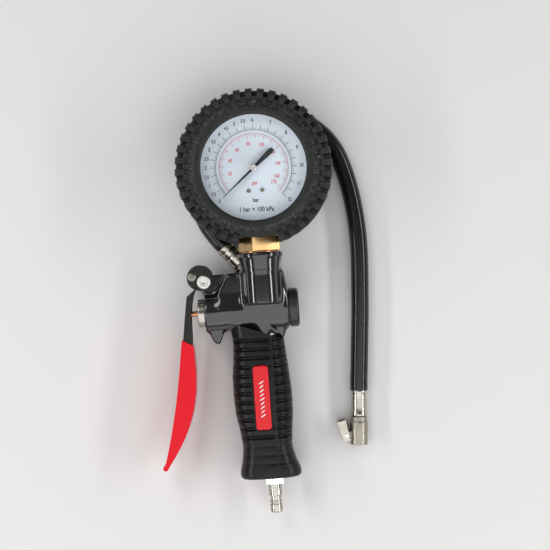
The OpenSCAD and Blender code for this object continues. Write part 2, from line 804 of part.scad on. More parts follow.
gauge_boot();
gauge_case();
bezel_ring();
gauge_lens();
lens_gasket();
gauge_dial();
dial_screws();
pointer();
pointer_hub();
pinion_arbor();
sector_gear();
tip_link();
bourdon_tube();
gauge_socket();
movement_plates();
movement_pillars();
hairspring();
gauge_coupling();
coupling_washer();
body_casting();
end_cap();
end_cap_seal();
gland_nut();
pin_seal();
push_pin();
valve_poppet();
valve_seat();
valve_spring();
lever();
lever_sleeve();
pivot_pin();
pivot_clip();
stop_rivet();
lever_spring();
grip_sleeve();
badge_plate();
inlet_plug();
inlet_washer();
inlet_filter();
hose_fitting();
gun_ferrule();
hose();
chuck_ferrule();
chuck_stem();
chuck_body();
chuck_clip();
clip_pin();
clip_spring();
chuck_seal();
valve_depressor();
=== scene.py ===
"""Visible finish of a tyre inflator with a dial gauge, built around its CAD frame.

Each operator makes one piece or one group of like pieces. Sizes are in millimetres unless a name
says otherwise, and every mesh is scaled to metres when it is made.
"""

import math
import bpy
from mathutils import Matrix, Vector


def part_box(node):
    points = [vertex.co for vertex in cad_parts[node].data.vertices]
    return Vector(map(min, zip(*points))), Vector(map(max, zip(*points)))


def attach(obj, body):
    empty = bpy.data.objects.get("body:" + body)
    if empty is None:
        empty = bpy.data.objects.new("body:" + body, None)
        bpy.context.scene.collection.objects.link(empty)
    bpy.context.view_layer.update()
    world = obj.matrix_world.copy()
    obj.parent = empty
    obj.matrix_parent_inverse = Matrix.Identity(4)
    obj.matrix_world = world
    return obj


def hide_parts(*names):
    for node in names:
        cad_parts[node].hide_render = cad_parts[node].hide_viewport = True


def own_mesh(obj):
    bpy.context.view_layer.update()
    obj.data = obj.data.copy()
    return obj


bl_info = {
    "name": "Tyre Inflator",
    "version": (1, 0, 0),
    "blender": (4, 5, 0),
    "location": "View3D > Sidebar > Inflator",
    "description": "Builds the finished look of a tyre inflator around its CAD frame",
    "category": "Add Mesh",
}

from functools import cache

import bmesh
import bpy
import numpy as np
from bpy.props import FloatProperty, FloatVectorProperty, IntProperty, PointerProperty
from mathutils import Matrix, Vector

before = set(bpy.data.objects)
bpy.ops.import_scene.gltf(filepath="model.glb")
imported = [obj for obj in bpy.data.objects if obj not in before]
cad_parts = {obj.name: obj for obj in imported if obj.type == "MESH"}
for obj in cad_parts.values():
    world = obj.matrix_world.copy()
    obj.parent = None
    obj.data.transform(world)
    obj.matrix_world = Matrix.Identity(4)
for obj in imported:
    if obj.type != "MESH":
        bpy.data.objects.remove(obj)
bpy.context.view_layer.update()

MM = 0.001
GUN = "gun"
TAU = 2 * math.pi
PSI_IN_A_BAR = 14.504
WELD = 1e-6  # metres within which points are one


def centre_of(node):
    """Middle of a CAD node's box, in millimetres."""
    low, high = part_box(node)
    return (np.array(low) + np.array(high)) / 2 / MM


def span_of(node, axis):
    """Lowest and highest station of a CAD node along one axis, in millimetres."""
    low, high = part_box(node)
    return low[axis] / MM, high[axis] / MM


GAUGE = centre_of("gauge_dial")[:2]
BOOT_RADIUS = (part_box("gauge_boot")[1].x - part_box("gauge_boot")[0].x) / 2 / MM
BOOT_BACK, BOOT_FRONT = span_of("gauge_boot", 2)
DIAL_FACE = span_of("gauge_dial", 2)[1]

# Frames of the hose port and of the chuck: the hose leaves along +Y of the first and enters the
# second against its -Y
PORT_EXIT, PORT_TURN = (-13, 42, 7.3), 40
CHUCK_AT, CHUCK_TURN = (75.9, -67.3, 6.4), -4
HOSE_DIAMETER = 12.7
HOSE_ROUTE = [
    PORT_EXIT, (-17.2, 47, 7.3), (-24.5, 58.5, 6.8), (-28.5, 71.5, 6.4), (-29.5, 85, 6.4),
    (-26.5, 98, 6.4), (-20.5, 110.5, 6.4), (-12, 120.5, 6.4), (-0.5, 128.5, 6.4),
    (12, 133, 6.4), (25.5, 134, 6.4), (39, 131.5, 6.4), (51.5, 126, 6.4), (62, 117.5, 6.4),
    (70, 106.5, 6.4), (75, 94, 6.4), (78.5, 80.5, 6.4), (81, 66, 6.4), (82.5, 51, 6.4),
    (83, 35, 6.4), (82.5, 19, 6.4), (81.5, 3, 6.4), (80.5, -13, 6.4), (79, -30, 6.4),
    (77.5, -48, 6.4), (76.48, -59, 6.4), CHUCK_AT,
]
# the valve chamber lies along X and the neck along Y
CHAMBER_Y, CHAMBER_Z = -4.6, 20
NECK_X, NECK_Z = 12, 31


# ---------- mesh tools ----------


def local_frame(at, turn):
    """Matrix that places a local frame at a point, turned about Z by degrees."""
    return Matrix.Translation(Vector(at)) @ Matrix.Rotation(math.radians(turn), 4, "Z")


PORT = local_frame(PORT_EXIT, PORT_TURN)
CHUCK = local_frame(CHUCK_AT, CHUCK_TURN)


def add_object(name, data):
    """Puts new data in the scene."""
    obj = bpy.data.objects.new(name, data)
    bpy.context.scene.collection.objects.link(obj)
    return obj


def make_mesh(name, verts, faces, place=None):
    """Mesh object from millimetre points, smooth shaded, closed and facing outwards."""
    mesh = bpy.data.meshes.new(name)
    mesh.from_pydata([tuple(float(c) for c in v) for v in verts], [], faces)
    if place is not None:
        mesh.transform(place)
    mesh.transform(Matrix.Scale(MM, 4))
    bm = bmesh.new()
    bm.from_mesh(mesh)
    bmesh.ops.remove_doubles(bm, verts=bm.verts, dist=WELD)
    bmesh.ops.recalc_face_normals(bm, faces=bm.faces)
    bm.to_mesh(mesh)
    bm.free()
    smooth_faces(mesh)
    return add_object(name, mesh)


def smooth_faces(mesh):
    """Shades every face of a mesh smooth."""
    mesh.polygons.foreach_set("use_smooth", [True] * len(mesh.polygons))


def skin_faces(rings, sides):
    """Faces of a closed skin over rings of points, with a cap at both ends."""
    faces = []
    for i in range(0, (rings - 1) * sides, sides):
        for k in range(sides):
            n = (k + 1) % sides
            faces.append((i + k, i + n, i + sides + n, i + sides + k))
    last = (rings - 1) * sides
    return faces + [tuple(range(sides)), tuple(range(last, last + sides))]


def sharpen(obj, degrees):
    """Marks edges steeper than an angle as sharp."""
    bm = bmesh.new()
    bm.from_mesh(obj.data)
    limit = math.radians(degrees)
    for edge in bm.edges:
        edge.smooth = not (edge.is_manifold and edge.calc_face_angle(0) > limit)
    bm.to_mesh(obj.data)
    bm.free()
    return obj


def round_edges(obj, width, segments, angle):
    """Rounds the edges that are steeper than an angle."""
    edges = obj.modifiers.new("edges", "BEVEL")
    edges.width, edges.segments = width * MM, segments
    edges.limit_method, edges.angle_limit = "ANGLE", math.radians(angle)
    return edges


def even_shading(obj, keep_sharp=False):
    """Keeps flats flat where they run into small rounds."""
    shade = obj.modifiers.new("shade", "WEIGHTED_NORMAL")
    shade.weight, shade.keep_sharp = 100, keep_sharp
    return settle(obj)


def settle(obj):
    """Turns an object's modifiers into plain mesh."""
    bpy.context.view_layer.update()
    graph = bpy.context.evaluated_depsgraph_get()
    mesh = bpy.data.meshes.new_from_object(obj.evaluated_get(graph))
    old = obj.data
    obj.modifiers.clear()
    obj.data = mesh
    if old.users == 0:
        bpy.data.meshes.remove(old)
    return obj


def join(name, objects):
    """Joins mesh objects into one of a single finish."""
    bm = bmesh.new()
    for obj in objects:
        bm.from_mesh(obj.data)
    for face in bm.faces:
        face.material_index = 0
    mesh = bpy.data.meshes.new(name)
    bm.to_mesh(mesh)
    bm.free()
    for obj in objects:
        bpy.data.meshes.remove(obj.data)
    return add_object(name, mesh)


def soften(outline, radius, steps=4):
    """Rounds the corners of a closed outline, with one radius or one for each corner."""
    radii = radius if hasattr(radius, "__len__") else [radius] * len(outline)
    most = 0.48  # share of an edge that one corner may take
    out = []
    for i, corner in enumerate(outline):
        here = np.array(corner, float)
        if radii[i] <= 0:
            out.append(tuple(here))
            continue
        before = np.array(outline[i - 1], float) - here
        after = np.array(outline[(i + 1) % len(outline)], float) - here
        one, other = np.linalg.norm(before), np.linalg.norm(after)
        reach = min(radii[i], most * one, most * other)
        a, b = here + before / one * reach, here + after / other * reach
        for t in np.linspace(0, 1, steps + 1):
            out.append(tuple((1 - t) ** 2 * a + 2 * t * (1 - t) * here + t * t * b))
    return out


def turned(name, profile, axis="Z", at=(0, 0), place=None, segments=96):
    """Closed solid turned about Y or Z from a closed profile of (radius, station) points."""
    verts, rings = [], []
    for radius, station in profile:
        ring = []
        for k in range(1 if radius < 1e-6 else segments):
            c, s = math.cos(TAU * k / segments), math.sin(TAU * k / segments)
            u, v = at[0] + radius * c, at[1] + radius * s
            ring.append(len(verts))
            verts.append((u, station, v) if axis == "Y" else (u, v, station))
        rings.append(ring)
    faces = []
    for i, ring in enumerate(rings):
        other = rings[(i + 1) % len(rings)]
        if len(ring) == 1 and len(other) == 1:
            continue
        for k in range(segments):
            n = (k + 1) % segments
            if len(ring) == 1:
                faces.append((ring[0], other[k], other[n]))
            elif len(other) == 1:
                faces.append((ring[k], ring[n], other[0]))
            else:
                faces.append((ring[k], ring[n], other[n], other[k]))
    return even_shading(make_mesh(name, verts, faces, place))


def flowing(points, steps):
    """Smooth curve through points."""
    p = np.array(points, float)
    p = np.vstack([2 * p[0] - p[1], p, 2 * p[-1] - p[-2]])
    out = []
    for a, b, c, d in zip(p, p[1:], p[2:], p[3:]):
        for t in np.arange(steps) / steps:
            out.append(b + 0.5 * t * (c - a + t * (2 * a - 5 * b + 4 * c - d
                                                   + t * (3 * (b - c) + d - a))))
    return np.array(out + [p[-2]])


def tube(name, path, radius, sides, place=None):
    """Closed round tube along a path."""
    path = np.array(path, float)
    ahead = np.gradient(path, axis=0)
    ahead /= np.linalg.norm(ahead, axis=1)[:, None]
    side = np.cross(ahead[0], (0.0, 0.0, 1.0) if abs(ahead[0][2]) < 0.9 else (1.0, 0.0, 0.0))
    verts = []
    for point, onward in zip(path, ahead):
        side = side - onward * (side @ onward)
        side /= np.linalg.norm(side)
        up = np.cross(side, onward)
        for k in range(sides):
            angle = TAU * k / sides
            verts.append(point + radius * (math.cos(angle) * side + math.sin(angle) * up))
    return sharpen(make_mesh(name, verts, skin_faces(len(path), sides), place), 50)


def coil(radius, pitch, turns, steps):
    """Points of a helix about Z, from the ground up."""
    angle = np.linspace(0, TAU * turns, int(turns * steps) + 1)
    return np.stack([radius * np.cos(angle), radius * np.sin(angle), pitch * angle / TAU], 1)


def place_piece(obj, finish, *nodes, body=GUN):
    """Gives a piece its finish, ties it to its body and hides the CAD nodes it stands for."""
    obj.data.materials.clear()
    obj.data.materials.append(finish_of(finish))
    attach(obj, body)
    if nodes:
        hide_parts(*nodes)
    return obj


def cad_piece(name, node, finish, bevel, segments=3, angle=28, body=GUN):
    """Piece in the shape of its CAD node, with its edges broken by a small round."""
    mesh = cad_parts[node].data.copy()
    mesh.name = name
    bm = bmesh.new()
    bm.from_mesh(mesh)
    bmesh.ops.remove_doubles(bm, verts=bm.verts, dist=2 * WELD)
    flat = math.radians(0.3)
    bmesh.ops.dissolve_limit(bm, angle_limit=flat, verts=bm.verts, edges=bm.edges)
    bm.to_mesh(mesh)
    bm.free()
    smooth_faces(mesh)
    mesh.materials.clear()
    obj = add_object(name, mesh)
    round_edges(obj, bevel, segments, angle).miter_outer = "MITER_ARC"
    return place_piece(even_shading(obj, keep_sharp=True), finish, node, body=body)


def finish_nodes(finish, *nodes):
    """Gives CAD nodes that stay in sight their finish."""
    for node in nodes:
        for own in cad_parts[node].material_slots:
            own.material = finish_of(finish)


# ---------- blended castings ----------


def blend(a, b, size):
    """Union of two distance fields with a fillet."""
    h = np.clip(0.5 + 0.5 * (b - a) / size, 0, 1)
    return b * (1 - h) + a * h - size * h * (1 - h)


def cut(a, b, size):
    """Field a with field b taken away, with a rounded edge."""
    return -blend(-a, b, size)


def inside_edge(u, v, edge):
    """Field of two crossed extents with a rounded edge."""
    u, v = u + edge, v + edge
    return np.minimum(np.maximum(u, v), 0) + np.hypot(np.maximum(u, 0), np.maximum(v, 0)) - edge


def rod(along, across1, across2, low, high, radius, edge):
    """Field of a round bar between two stations."""
    reach = np.abs(along - (low + high) / 2) - (high - low) / 2
    return inside_edge(np.hypot(across1, across2) - radius, reach, edge)


def outline_field(x, y, outline):
    """Signed distance to a closed outline in the XY plane."""
    count = len(outline)
    best = np.full(np.broadcast(x, y).shape, 1e9)
    sign = np.ones_like(best)
    for i in range(count):
        ax, ay = outline[i]
        bx, by = outline[i - 1]
        ex, ey = bx - ax, by - ay
        wx, wy = x - ax, y - ay
        t = np.clip((wx * ex + wy * ey) / (ex * ex + ey * ey), 0, 1)
        best = np.minimum(best, (wx - ex * t) ** 2 + (wy - ey * t) ** 2)
        above, below, left = y >= ay, y < by, ex * wy > ey * wx
        flip = (above & below & left) | (~above & ~below & ~left)
        sign = np.where(flip, -sign, sign)
    return sign * np.sqrt(best)


def slab(x, y, z, outline, low, high, edge):
    """Field of an outline raised between two heights."""
    flat = outline_field(x, y, outline)
    return inside_edge(flat, np.abs(z - (low + high) / 2) - (high - low) / 2, edge)


def shell_of(name, field, low, high, step, place=None):
    """Closed mesh of the zero surface of a field, with its points pulled onto the surface."""
    x, y, z = (np.arange(a, b + step, step) for a, b in zip(low, high))
    f = field(x[:, None, None], y[None, :, None], z[None, None, :]).astype(np.float32)
    inside = f < 0
    cells = tuple(n - 1 for n in f.shape)
    total = np.zeros(cells + (3,), np.float32)
    count = np.zeros(cells, np.float32)
    crossings = []
    for axis in range(3):
        first = [slice(None)] * 3
        second = [slice(None)] * 3
        first[axis], second[axis] = slice(0, -1), slice(1, None)
        a, b = f[tuple(first)], f[tuple(second)]
        crossed = inside[tuple(first)] != inside[tuple(second)]
        part = np.where(crossed, a / np.where(crossed, a - b, 1), 0)
        crossings.append((crossed, inside[tuple(first)]))
        others = [i for i in range(3) if i != axis]
        for i in (0, 1):
            for j in (0, 1):
                window = [slice(None)] * 3
                window[others[0]] = slice(i, i + cells[others[0]])
                window[others[1]] = slice(j, j + cells[others[1]])
                hit = crossed[tuple(window)]
                count += hit
                total[..., axis] += part[tuple(window)]
                total[..., others[0]] += hit * i
                total[..., others[1]] += hit * j
    live = count > 0
    number = np.full(cells, -1)
    number[live] = np.arange(live.sum())
    points = (np.argwhere(live) + total[live] / count[live][:, None]) * step + np.array(low)
    faces = []
    for axis, (crossed, starts_in) in enumerate(crossings):
        b, c = [(axis + 1) % 3, (axis + 2) % 3]
        index = np.argwhere(crossed)
        keep = np.all([index[:, b] > 0, index[:, b] < cells[b], index[:, c] > 0,
                       index[:, c] < cells[c]], axis=0)
        index = index[keep]
        corners = []
        for i, j in ((1, 1), (0, 1), (0, 0), (1, 0)):
            cell = index.copy()
            cell[:, b] -= i
            cell[:, c] -= j
            corners.append(number[tuple(cell.T)])
        quads = np.stack(corners, 1)
        turn = ~starts_in[tuple(index.T)]
        quads[turn] = quads[turn][:, ::-1]
        faces.append(quads)
    small = 0.02
    for _ in range(3):
        here = field(*points.T)
        slope = np.stack([(field(*(points + small * axis).T) - here) / small
                          for axis in np.eye(3)], 1)
        size = np.maximum((slope ** 2).sum(1), 0.25)
        pull = np.clip(here / size, -0.4 * step, 0.4 * step)
        points = points - pull[:, None] * slope
    return make_mesh(name, points, np.vstack(faces).tolist(), place)


# ---------- finishes ----------


def feed(tree, node, inputs):
    """Sets each named input of a node, to a value or to the socket that feeds it."""
    for name, value in inputs.items():
        if isinstance(value, bpy.types.NodeSocket):
            tree.links.new(value, node.inputs[name])
        else:
            node.inputs[name].default_value = value
    return node


def add_node(tree, kind, inputs=None, **settings):
    """Adds a node with its settings and its inputs."""
    node = tree.nodes.new(kind)
    for name, value in settings.items():
        setattr(node, name, value)
    return feed(tree, node, inputs or {})


def node_group(name, kind, inputs, outputs):
    """Empty node group, its input sockets and its output node. An input is given as the kind of
    its socket, or as the default of a number."""
    group = bpy.data.node_groups.new(name, kind)
    for way, sockets in (("INPUT", inputs), ("OUTPUT", outputs)):
        for label, given in sockets.items():
            sort = given if isinstance(given, str) else "Float"
            socket = group.interface.new_socket(label, in_out=way, socket_type=f"NodeSocket{sort}")
            if sort != given:
                socket.default_value = given
    return group, group.nodes.new("NodeGroupInput").outputs, group.nodes.new("NodeGroupOutput")


def grain_group():
    """Fine surface texture: a height for bumps and a roughness that drifts over the surface."""
    group, given, out = node_group(
        "surface grain", "ShaderNodeTree",
        {"Vector": "Vector", "Grain Scale": 900.0, "Drift Scale": 60.0, "Smoothest": 0.3,
         "Roughest": 0.5}, {"Height": "Float", "Roughness": "Float", "Drift": "Float"})
    fine, drift = (add_node(group, "ShaderNodeTexNoise", {
        "Vector": given["Vector"], "Scale": given[scale], "Detail": detail}).outputs["Fac"]
        for scale, detail in (("Grain Scale", 4.0), ("Drift Scale", 3.0)))
    spread = add_node(group, "ShaderNodeMapRange", {
        "Value": drift, "From Min": 0.3, "From Max": 0.7, "To Min": given["Smoothest"],
        "To Max": given["Roughest"]})
    feed(group, out, {"Height": fine, "Roughness": spread.outputs["Result"], "Drift": drift})
    return group


def masked(group, out, first, second):
    """Puts out the product of two masks."""
    both = add_node(group, "ShaderNodeMath", {0: first.outputs["Result"],
                                              1: second.outputs["Result"]}, operation="MULTIPLY")
    feed(group, out, {"Mask": both.outputs["Value"]})
    return group


def speckle_group():
    """Scattered specks of dust or casting pits, as a mask."""
    group, given, out = node_group(
        "specks", "ShaderNodeTree", {"Vector": "Vector", "Scale": 700.0, "Reach": 0.12},
        {"Mask": "Float"})
    cells = add_node(group, "ShaderNodeTexVoronoi",
                     {"Vector": given["Vector"], "Scale": given["Scale"]})
    patches = add_node(group, "ShaderNodeTexNoise", {"Vector": given["Vector"], "Scale": 90.0})
    near = add_node(group, "ShaderNodeMapRange", {
        "Value": cells.outputs["Distance"], "From Min": 0.0, "From Max": given["Reach"],
        "To Min": 1.0, "To Max": 0.0})
    where = add_node(group, "ShaderNodeMapRange", {
        "Value": patches.outputs["Fac"], "From Min": 0.5, "From Max": 0.65})
    return masked(group, out, near, where)


def wear_and_highlight_group():
    """Lighter bulging edges, from how far the surface bulges there: worn paint on the casting, a
    painted highlight on the rubber boot and grip.
    """
    group, given, out = node_group(
        "edge wear", "ShaderNodeTree",
        {"Vector": "Vector", "Bulge": 0.5, "Start": 0.56, "Full": 0.64}, {"Mask": "Float"})
    broken = add_node(group, "ShaderNodeTexNoise", {
        "Vector": given["Vector"], "Scale": 420.0, "Detail": 5.0})
    edge = add_node(group, "ShaderNodeMapRange", {
        "Value": given["Bulge"], "From Min": given["Start"], "From Max": given["Full"]})
    bite = add_node(group, "ShaderNodeMapRange", {
        "Value": broken.outputs["Fac"], "From Min": 0.45, "From Max": 0.6})
    return masked(group, out, edge, bite)


@cache
def shared_group(build):
    """The node group that a function builds, built once."""
    return build()


# name: base colour, second colour, metallic, smoothest and roughest roughness, grain scale per
# metre, bump in millimetres and, where it isn't even, stretch of the grain along X, Y and Z
FINISHES = {
    "boot_rubber": ((0.0075, 0.008, 0.008), (0.021, 0.022, 0.021), 0, 0.4, 0.6, 1500, 0.05),
    "black_enamel": ((0.018, 0.018, 0.019), (0.03, 0.03, 0.03), 0, 0.28, 0.4, 900, 0.01),
    "seal_rubber": ((0.02, 0.02, 0.02), (0.035, 0.035, 0.034), 0, 0.5, 0.7, 1200, 0.03),
    "bright_steel": ((0.82, 0.8, 0.77), (0.7, 0.68, 0.65), 1, 0.28, 0.42, 1400, 0.006,
                     (1, 1, 0.1)),
    "pointer_black": ((0.008, 0.008, 0.01), (0.02, 0.02, 0.022), 0, 0.35, 0.5, 1500, 0.01),
    "brass": ((0.64, 0.43, 0.2), (0.5, 0.32, 0.13), 1, 0.24, 0.4, 1100, 0.012, (1, 0.12, 1)),
    "copper_tone": ((0.66, 0.33, 0.18), (0.5, 0.24, 0.13), 1, 0.25, 0.42, 900, 0.01,
                    (0.15, 1, 1)),
    "black_paint": ((0.005, 0.005, 0.0055), (0.009, 0.009, 0.0095), 0, 0.12, 0.2, 520, 0.02),
    "dark_metal": ((0.028, 0.029, 0.03), (0.05, 0.051, 0.052), 0.5, 0.28, 0.4, 900, 0.015),
    "nickel": ((0.54, 0.51, 0.455), (0.4, 0.375, 0.33), 1, 0.15, 0.32, 2200, 0.008),
    "cast_nickel": ((0.5, 0.465, 0.4), (0.2, 0.18, 0.145), 1, 0.26, 0.5, 520, 0.16),
    "spring_steel": ((0.5, 0.5, 0.5), (0.36, 0.36, 0.36), 1, 0.28, 0.4, 1200, 0.008),
    "lever_steel": ((0.012, 0.0125, 0.011), (0.035, 0.035, 0.03), 0.35, 0.28, 0.44, 700, 0.02,
                    (1, 0.2, 1)),
    "red_vinyl": ((0.75, 0.006, 0.02), (0.65, 0.004, 0.014), 0, 0.24, 0.36, 260, 0.035,
                  (1, 0.5, 1)),
    "grip_rubber": ((0.0045, 0.0045, 0.005), (0.0095, 0.01, 0.01), 0, 0.27, 0.42, 1300, 0.035),
    "red_plastic": ((0.72, 0.014, 0.02), (0.64, 0.01, 0.016), 0, 0.2, 0.3, 600, 0.01),
    "hose_rubber": ((0.005, 0.0055, 0.0055), (0.01, 0.0105, 0.0105), 0, 0.16, 0.26, 700, 0.02,
                    (1, 0.3, 1)),
    "aged_steel": ((0.3, 0.29, 0.25), (0.2, 0.19, 0.16), 1, 0.35, 0.5, 1400, 0.01),
    "print_white": ((0.85, 0.85, 0.85), (0.75, 0.75, 0.75), 0, 0.4, 0.55, 900, 0.005),
    "print_black": ((0.02, 0.024, 0.03), (0.05, 0.055, 0.06), 0, 0.4, 0.55, 900, 0.004),
    "print_red": ((0.55, 0.09, 0.12), (0.66, 0.16, 0.19), 0, 0.4, 0.55, 900, 0.004),
    "dial_white": ((0.63, 0.7, 0.775), (0.69, 0.75, 0.81), 0, 0.36, 0.5, 800, 0.008),
}
# specular level of the finishes that don't keep the default of 0.5
SHINE = {"boot_rubber": 0.32, "grip_rubber": 0.24, "pointer_black": 0.3, "red_vinyl": 0.18,
         "red_plastic": 0.3, "lever_steel": 0.3, "hose_rubber": 0.4}
COATED = {"black_paint": 0.8}
# lighter colour of bulging edges: worn paint on black_paint, and a painted highlight on the boot
# and grip rubber
WEAR_AND_HIGHLIGHT = {"black_paint": (0.05, 0.05, 0.052), "boot_rubber": (0.075, 0.076, 0.074),
        "grip_rubber": (0.045, 0.045, 0.045)}
SPECKED = {"boot_rubber": (0.12, 0.12, 0.115), "grip_rubber": (0.07, 0.07, 0.07),
           "cast_nickel": (0.16, 0.14, 0.11), "hose_rubber": (0.06, 0.06, 0.06),
           "dial_white": (0.6, 0.68, 0.74), "black_paint": (0.06, 0.06, 0.06)}


@cache
def finish_of(name):
    """The procedural material of one finish, built once."""
    material = bpy.data.materials.new(name)
    material.use_nodes = True
    tree = material.node_tree
    where = tree.nodes.new("ShaderNodeTexCoord").outputs["Object"]
    shader = tree.nodes["Principled BSDF"]
    if name == "clear_lens":
        clear_lens(tree, shader, where)
    else:
        solid_finish(name, tree, shader, where)
    return material


def shared_node(tree, build, inputs):
    """Places a shared group in a material with its own values."""
    return add_node(tree, "ShaderNodeGroup", inputs, node_tree=shared_group(build)).outputs


def solid_finish(name, tree, shader, where):
    """Grain, drift of colour, specks and lighter bulging edges on an opaque finish; those edges are
    worn paint on the casting and a painted highlight on the rubber.
    """
    base, second, metallic, smooth, rough, scale, bump, *stretch = FINISHES[name]
    mapping = add_node(tree, "ShaderNodeMapping", {
        "Vector": where, "Scale": stretch[0] if stretch else (1, 1, 1)})
    grain = shared_node(tree, grain_group, {
        "Vector": mapping.outputs["Vector"], "Grain Scale": scale, "Drift Scale": scale / 14,
        "Smoothest": smooth, "Roughest": rough})
    shade = mixed(tree, grain["Drift"], (*base, 1), second)
    if name in SPECKED:
        specks = shared_node(tree, speckle_group, {"Vector": where})
        shade = mixed(tree, specks["Mask"], shade, SPECKED[name])
    # bulging edges go lighter: worn paint on the casting, a painted highlight on the rubber
    if name in WEAR_AND_HIGHLIGHT:
        bulge = tree.nodes.new("ShaderNodeNewGeometry").outputs["Pointiness"]
        wear_and_highlight = shared_node(tree, wear_and_highlight_group, {"Vector": where, "Bulge": bulge})
        shade = mixed(tree, wear_and_highlight["Mask"], shade, WEAR_AND_HIGHLIGHT[name])
    relief = add_node(tree, "ShaderNodeBump", {
        "Strength": 0.6, "Distance": bump * MM, "Height": grain["Height"]})
    feed(tree, shader, {
        "Base Color": shade, "Metallic": metallic, "Roughness": grain["Roughness"],
        "Normal": relief.outputs["Normal"], "Specular IOR Level": SHINE.get(name, 0.5),
        "Coat Weight": COATED.get(name, 0), "Coat Roughness": 0.06})


def mixed(tree, mask, shade, colour):
    """Lays a colour over a shade where a mask says."""
    return add_node(tree, "ShaderNodeMix", {"Factor": mask, "A": shade, "B": (*colour, 1)},
                    data_type="RGBA").outputs["Result"]


def clear_lens(tree, shader, where):
    """Clear moulded lens that lets the light through to the dial, with faint smudges."""
    grain = shared_node(tree, grain_group, {
        "Vector": where, "Drift Scale": 40.0, "Smoothest": 0.005, "Roughest": 0.04})
    feed(tree, shader, {"Base Color": (0.97, 0.985, 1, 1), "Transmission Weight": 1.0,
                        "IOR": 1.49, "Roughness": grain["Roughness"]})
    path = tree.nodes.new("ShaderNodeLightPath").outputs
    either = add_node(tree, "ShaderNodeMath", {0: path["Is Shadow Ray"],
                                               1: path["Is Diffuse Ray"]}, operation="MAXIMUM")
    clear = tree.nodes.new("ShaderNodeBsdfTransparent")
    mix = add_node(tree, "ShaderNodeMixShader", {
        "Fac": either.outputs["Value"], 1: shader.outputs["BSDF"], 2: clear.outputs["BSDF"]})
    feed(tree, tree.nodes["Material Output"], {"Surface": mix.outputs["Shader"]})


# ---------- repeats ----------


def ring_tree():
    """Geometry nodes that repeat a piece around Z."""
    tree, given, out = node_group(
        "ring of pieces", "GeometryNodeTree",
        {"Geometry": "Geometry", "Count": "Int", "Start Angle": "Float", "Step Angle": "Float",
         "Material": "Material"}, {"Geometry": "Geometry"})
    spots = add_node(tree, "GeometryNodeMeshLine",
                     {"Count": given["Count"], "Offset": (0, 0, 0)})
    index = tree.nodes.new("GeometryNodeInputIndex")
    turn = add_node(tree, "ShaderNodeMath", {
        0: index.outputs["Index"], 1: given["Step Angle"], 2: given["Start Angle"]},
        operation="MULTIPLY_ADD")
    angle = add_node(tree, "ShaderNodeCombineXYZ", {"Z": turn.outputs["Value"]})
    rotation = add_node(tree, "FunctionNodeEulerToRotation", {"Euler": angle.outputs["Vector"]})
    copies = add_node(tree, "GeometryNodeInstanceOnPoints", {
        "Points": spots.outputs["Mesh"], "Instance": given["Geometry"],
        "Rotation": rotation.outputs["Rotation"]})
    real = add_node(tree, "GeometryNodeRealizeInstances",
                    {"Geometry": copies.outputs["Instances"]})
    dress = add_node(tree, "GeometryNodeSetMaterial", {
        "Geometry": real.outputs["Geometry"], "Material": given["Material"]})
    feed(tree, out, {"Geometry": dress.outputs["Geometry"]})
    return tree


def repeat_round(piece, finish, count, start, step):
    """Repeats a piece made about the origin around the gauge's axis. Angles are in degrees."""
    tree = shared_group(ring_tree)
    ring = piece.modifiers.new("ring", "NODES")
    ring.node_group = tree
    sockets = {s.name: s.identifier for s in tree.interface.items_tree if s.in_out == "INPUT"}
    for name, value in (("Count", count), ("Start Angle", math.radians(start)),
                        ("Step Angle", math.radians(step)), ("Material", finish_of(finish))):
        ring[sockets[name]] = value
    settle(piece)
    piece.data.transform(Matrix.Translation((*(GAUGE * MM), 0)))
    return piece


def block(name, radial, width_in, width_out, edge=0.0):
    """Wedge along +X from a profile of (radius, height) points, narrower at its inner end."""
    radii = [r for r, _ in radial]
    low, high = min(radii), max(radii)
    verts = []
    for side in (-1, 1):
        for r, h in radial:
            share = (r - low) / (high - low)
            verts.append((r, side * (width_in + (width_out - width_in) * share) / 2, h))
    obj = make_mesh(name, verts, skin_faces(2, len(radial)))
    if edge > 0:
        round_edges(obj, edge, 2, 25)
        return even_shading(obj)
    return sharpen(obj, 20)


# ---------- settings ----------


class InflatorSizes(bpy.types.PropertyGroup):
    """Sizes of the finish that can be changed without touching the frame."""

    boot_lugs: IntProperty(name="Boot Lugs", description="Number of tread lugs around the boot",
                           default=40, min=24, max=48)
    fine_ribs: IntProperty(name="Boot Ribs", description="Number of fine ribs inside the lugs",
                           default=160, min=80, max=240)
    rib_pitch: FloatProperty(name="Grip Rib Pitch", description="Distance between grip ribs",
                             default=0.0062, min=0.004, max=0.009, subtype="DISTANCE")
    groove_depth: FloatProperty(name="Grip Groove Depth", description="Depth of the grip grooves",
                                default=0.0017, min=0.0002, max=0.0022, subtype="DISTANCE")
    full_scale: FloatProperty(name="Full Scale", description="Highest pressure on the dial, in bar",
                              default=12, min=4, max=16)
    sweep: FloatProperty(name="Dial Sweep", description="Angle of the whole scale",
                         default=math.radians(266), min=math.pi, max=math.radians(280),
                         subtype="ANGLE")
    zero_angle: FloatProperty(name="Zero Angle", description="Direction of the zero, from +X",
                              default=math.radians(220.8), min=math.radians(200),
                              max=math.radians(250), subtype="ANGLE")
    label_radius: FloatProperty(name="Label Radius", description="Radius of the outer numbers",
                                default=0.0331, min=0.031, max=0.034, subtype="DISTANCE")


class InflatorStudio(bpy.types.PropertyGroup):
    """Floor and light."""

    floor_colour: FloatVectorProperty(name="Floor", description="Colour of the floor", size=3,
                                      default=(0.7, 0.685, 0.68), subtype="COLOR")
    room_light: FloatProperty(name="Room Light", description="Strength of the light all round",
                              default=0.16, min=0, max=2)
    soft_light: FloatProperty(name="Soft Light", description="Strength of every studio light",
                              default=1.0, min=0, max=4, subtype="FACTOR")


# ---------- stage ----------

CAMERA_AT = (0.0216, 0.01895, 1.1)
CAMERA_TURN = -4
CAMERA_FIELD = 20.45


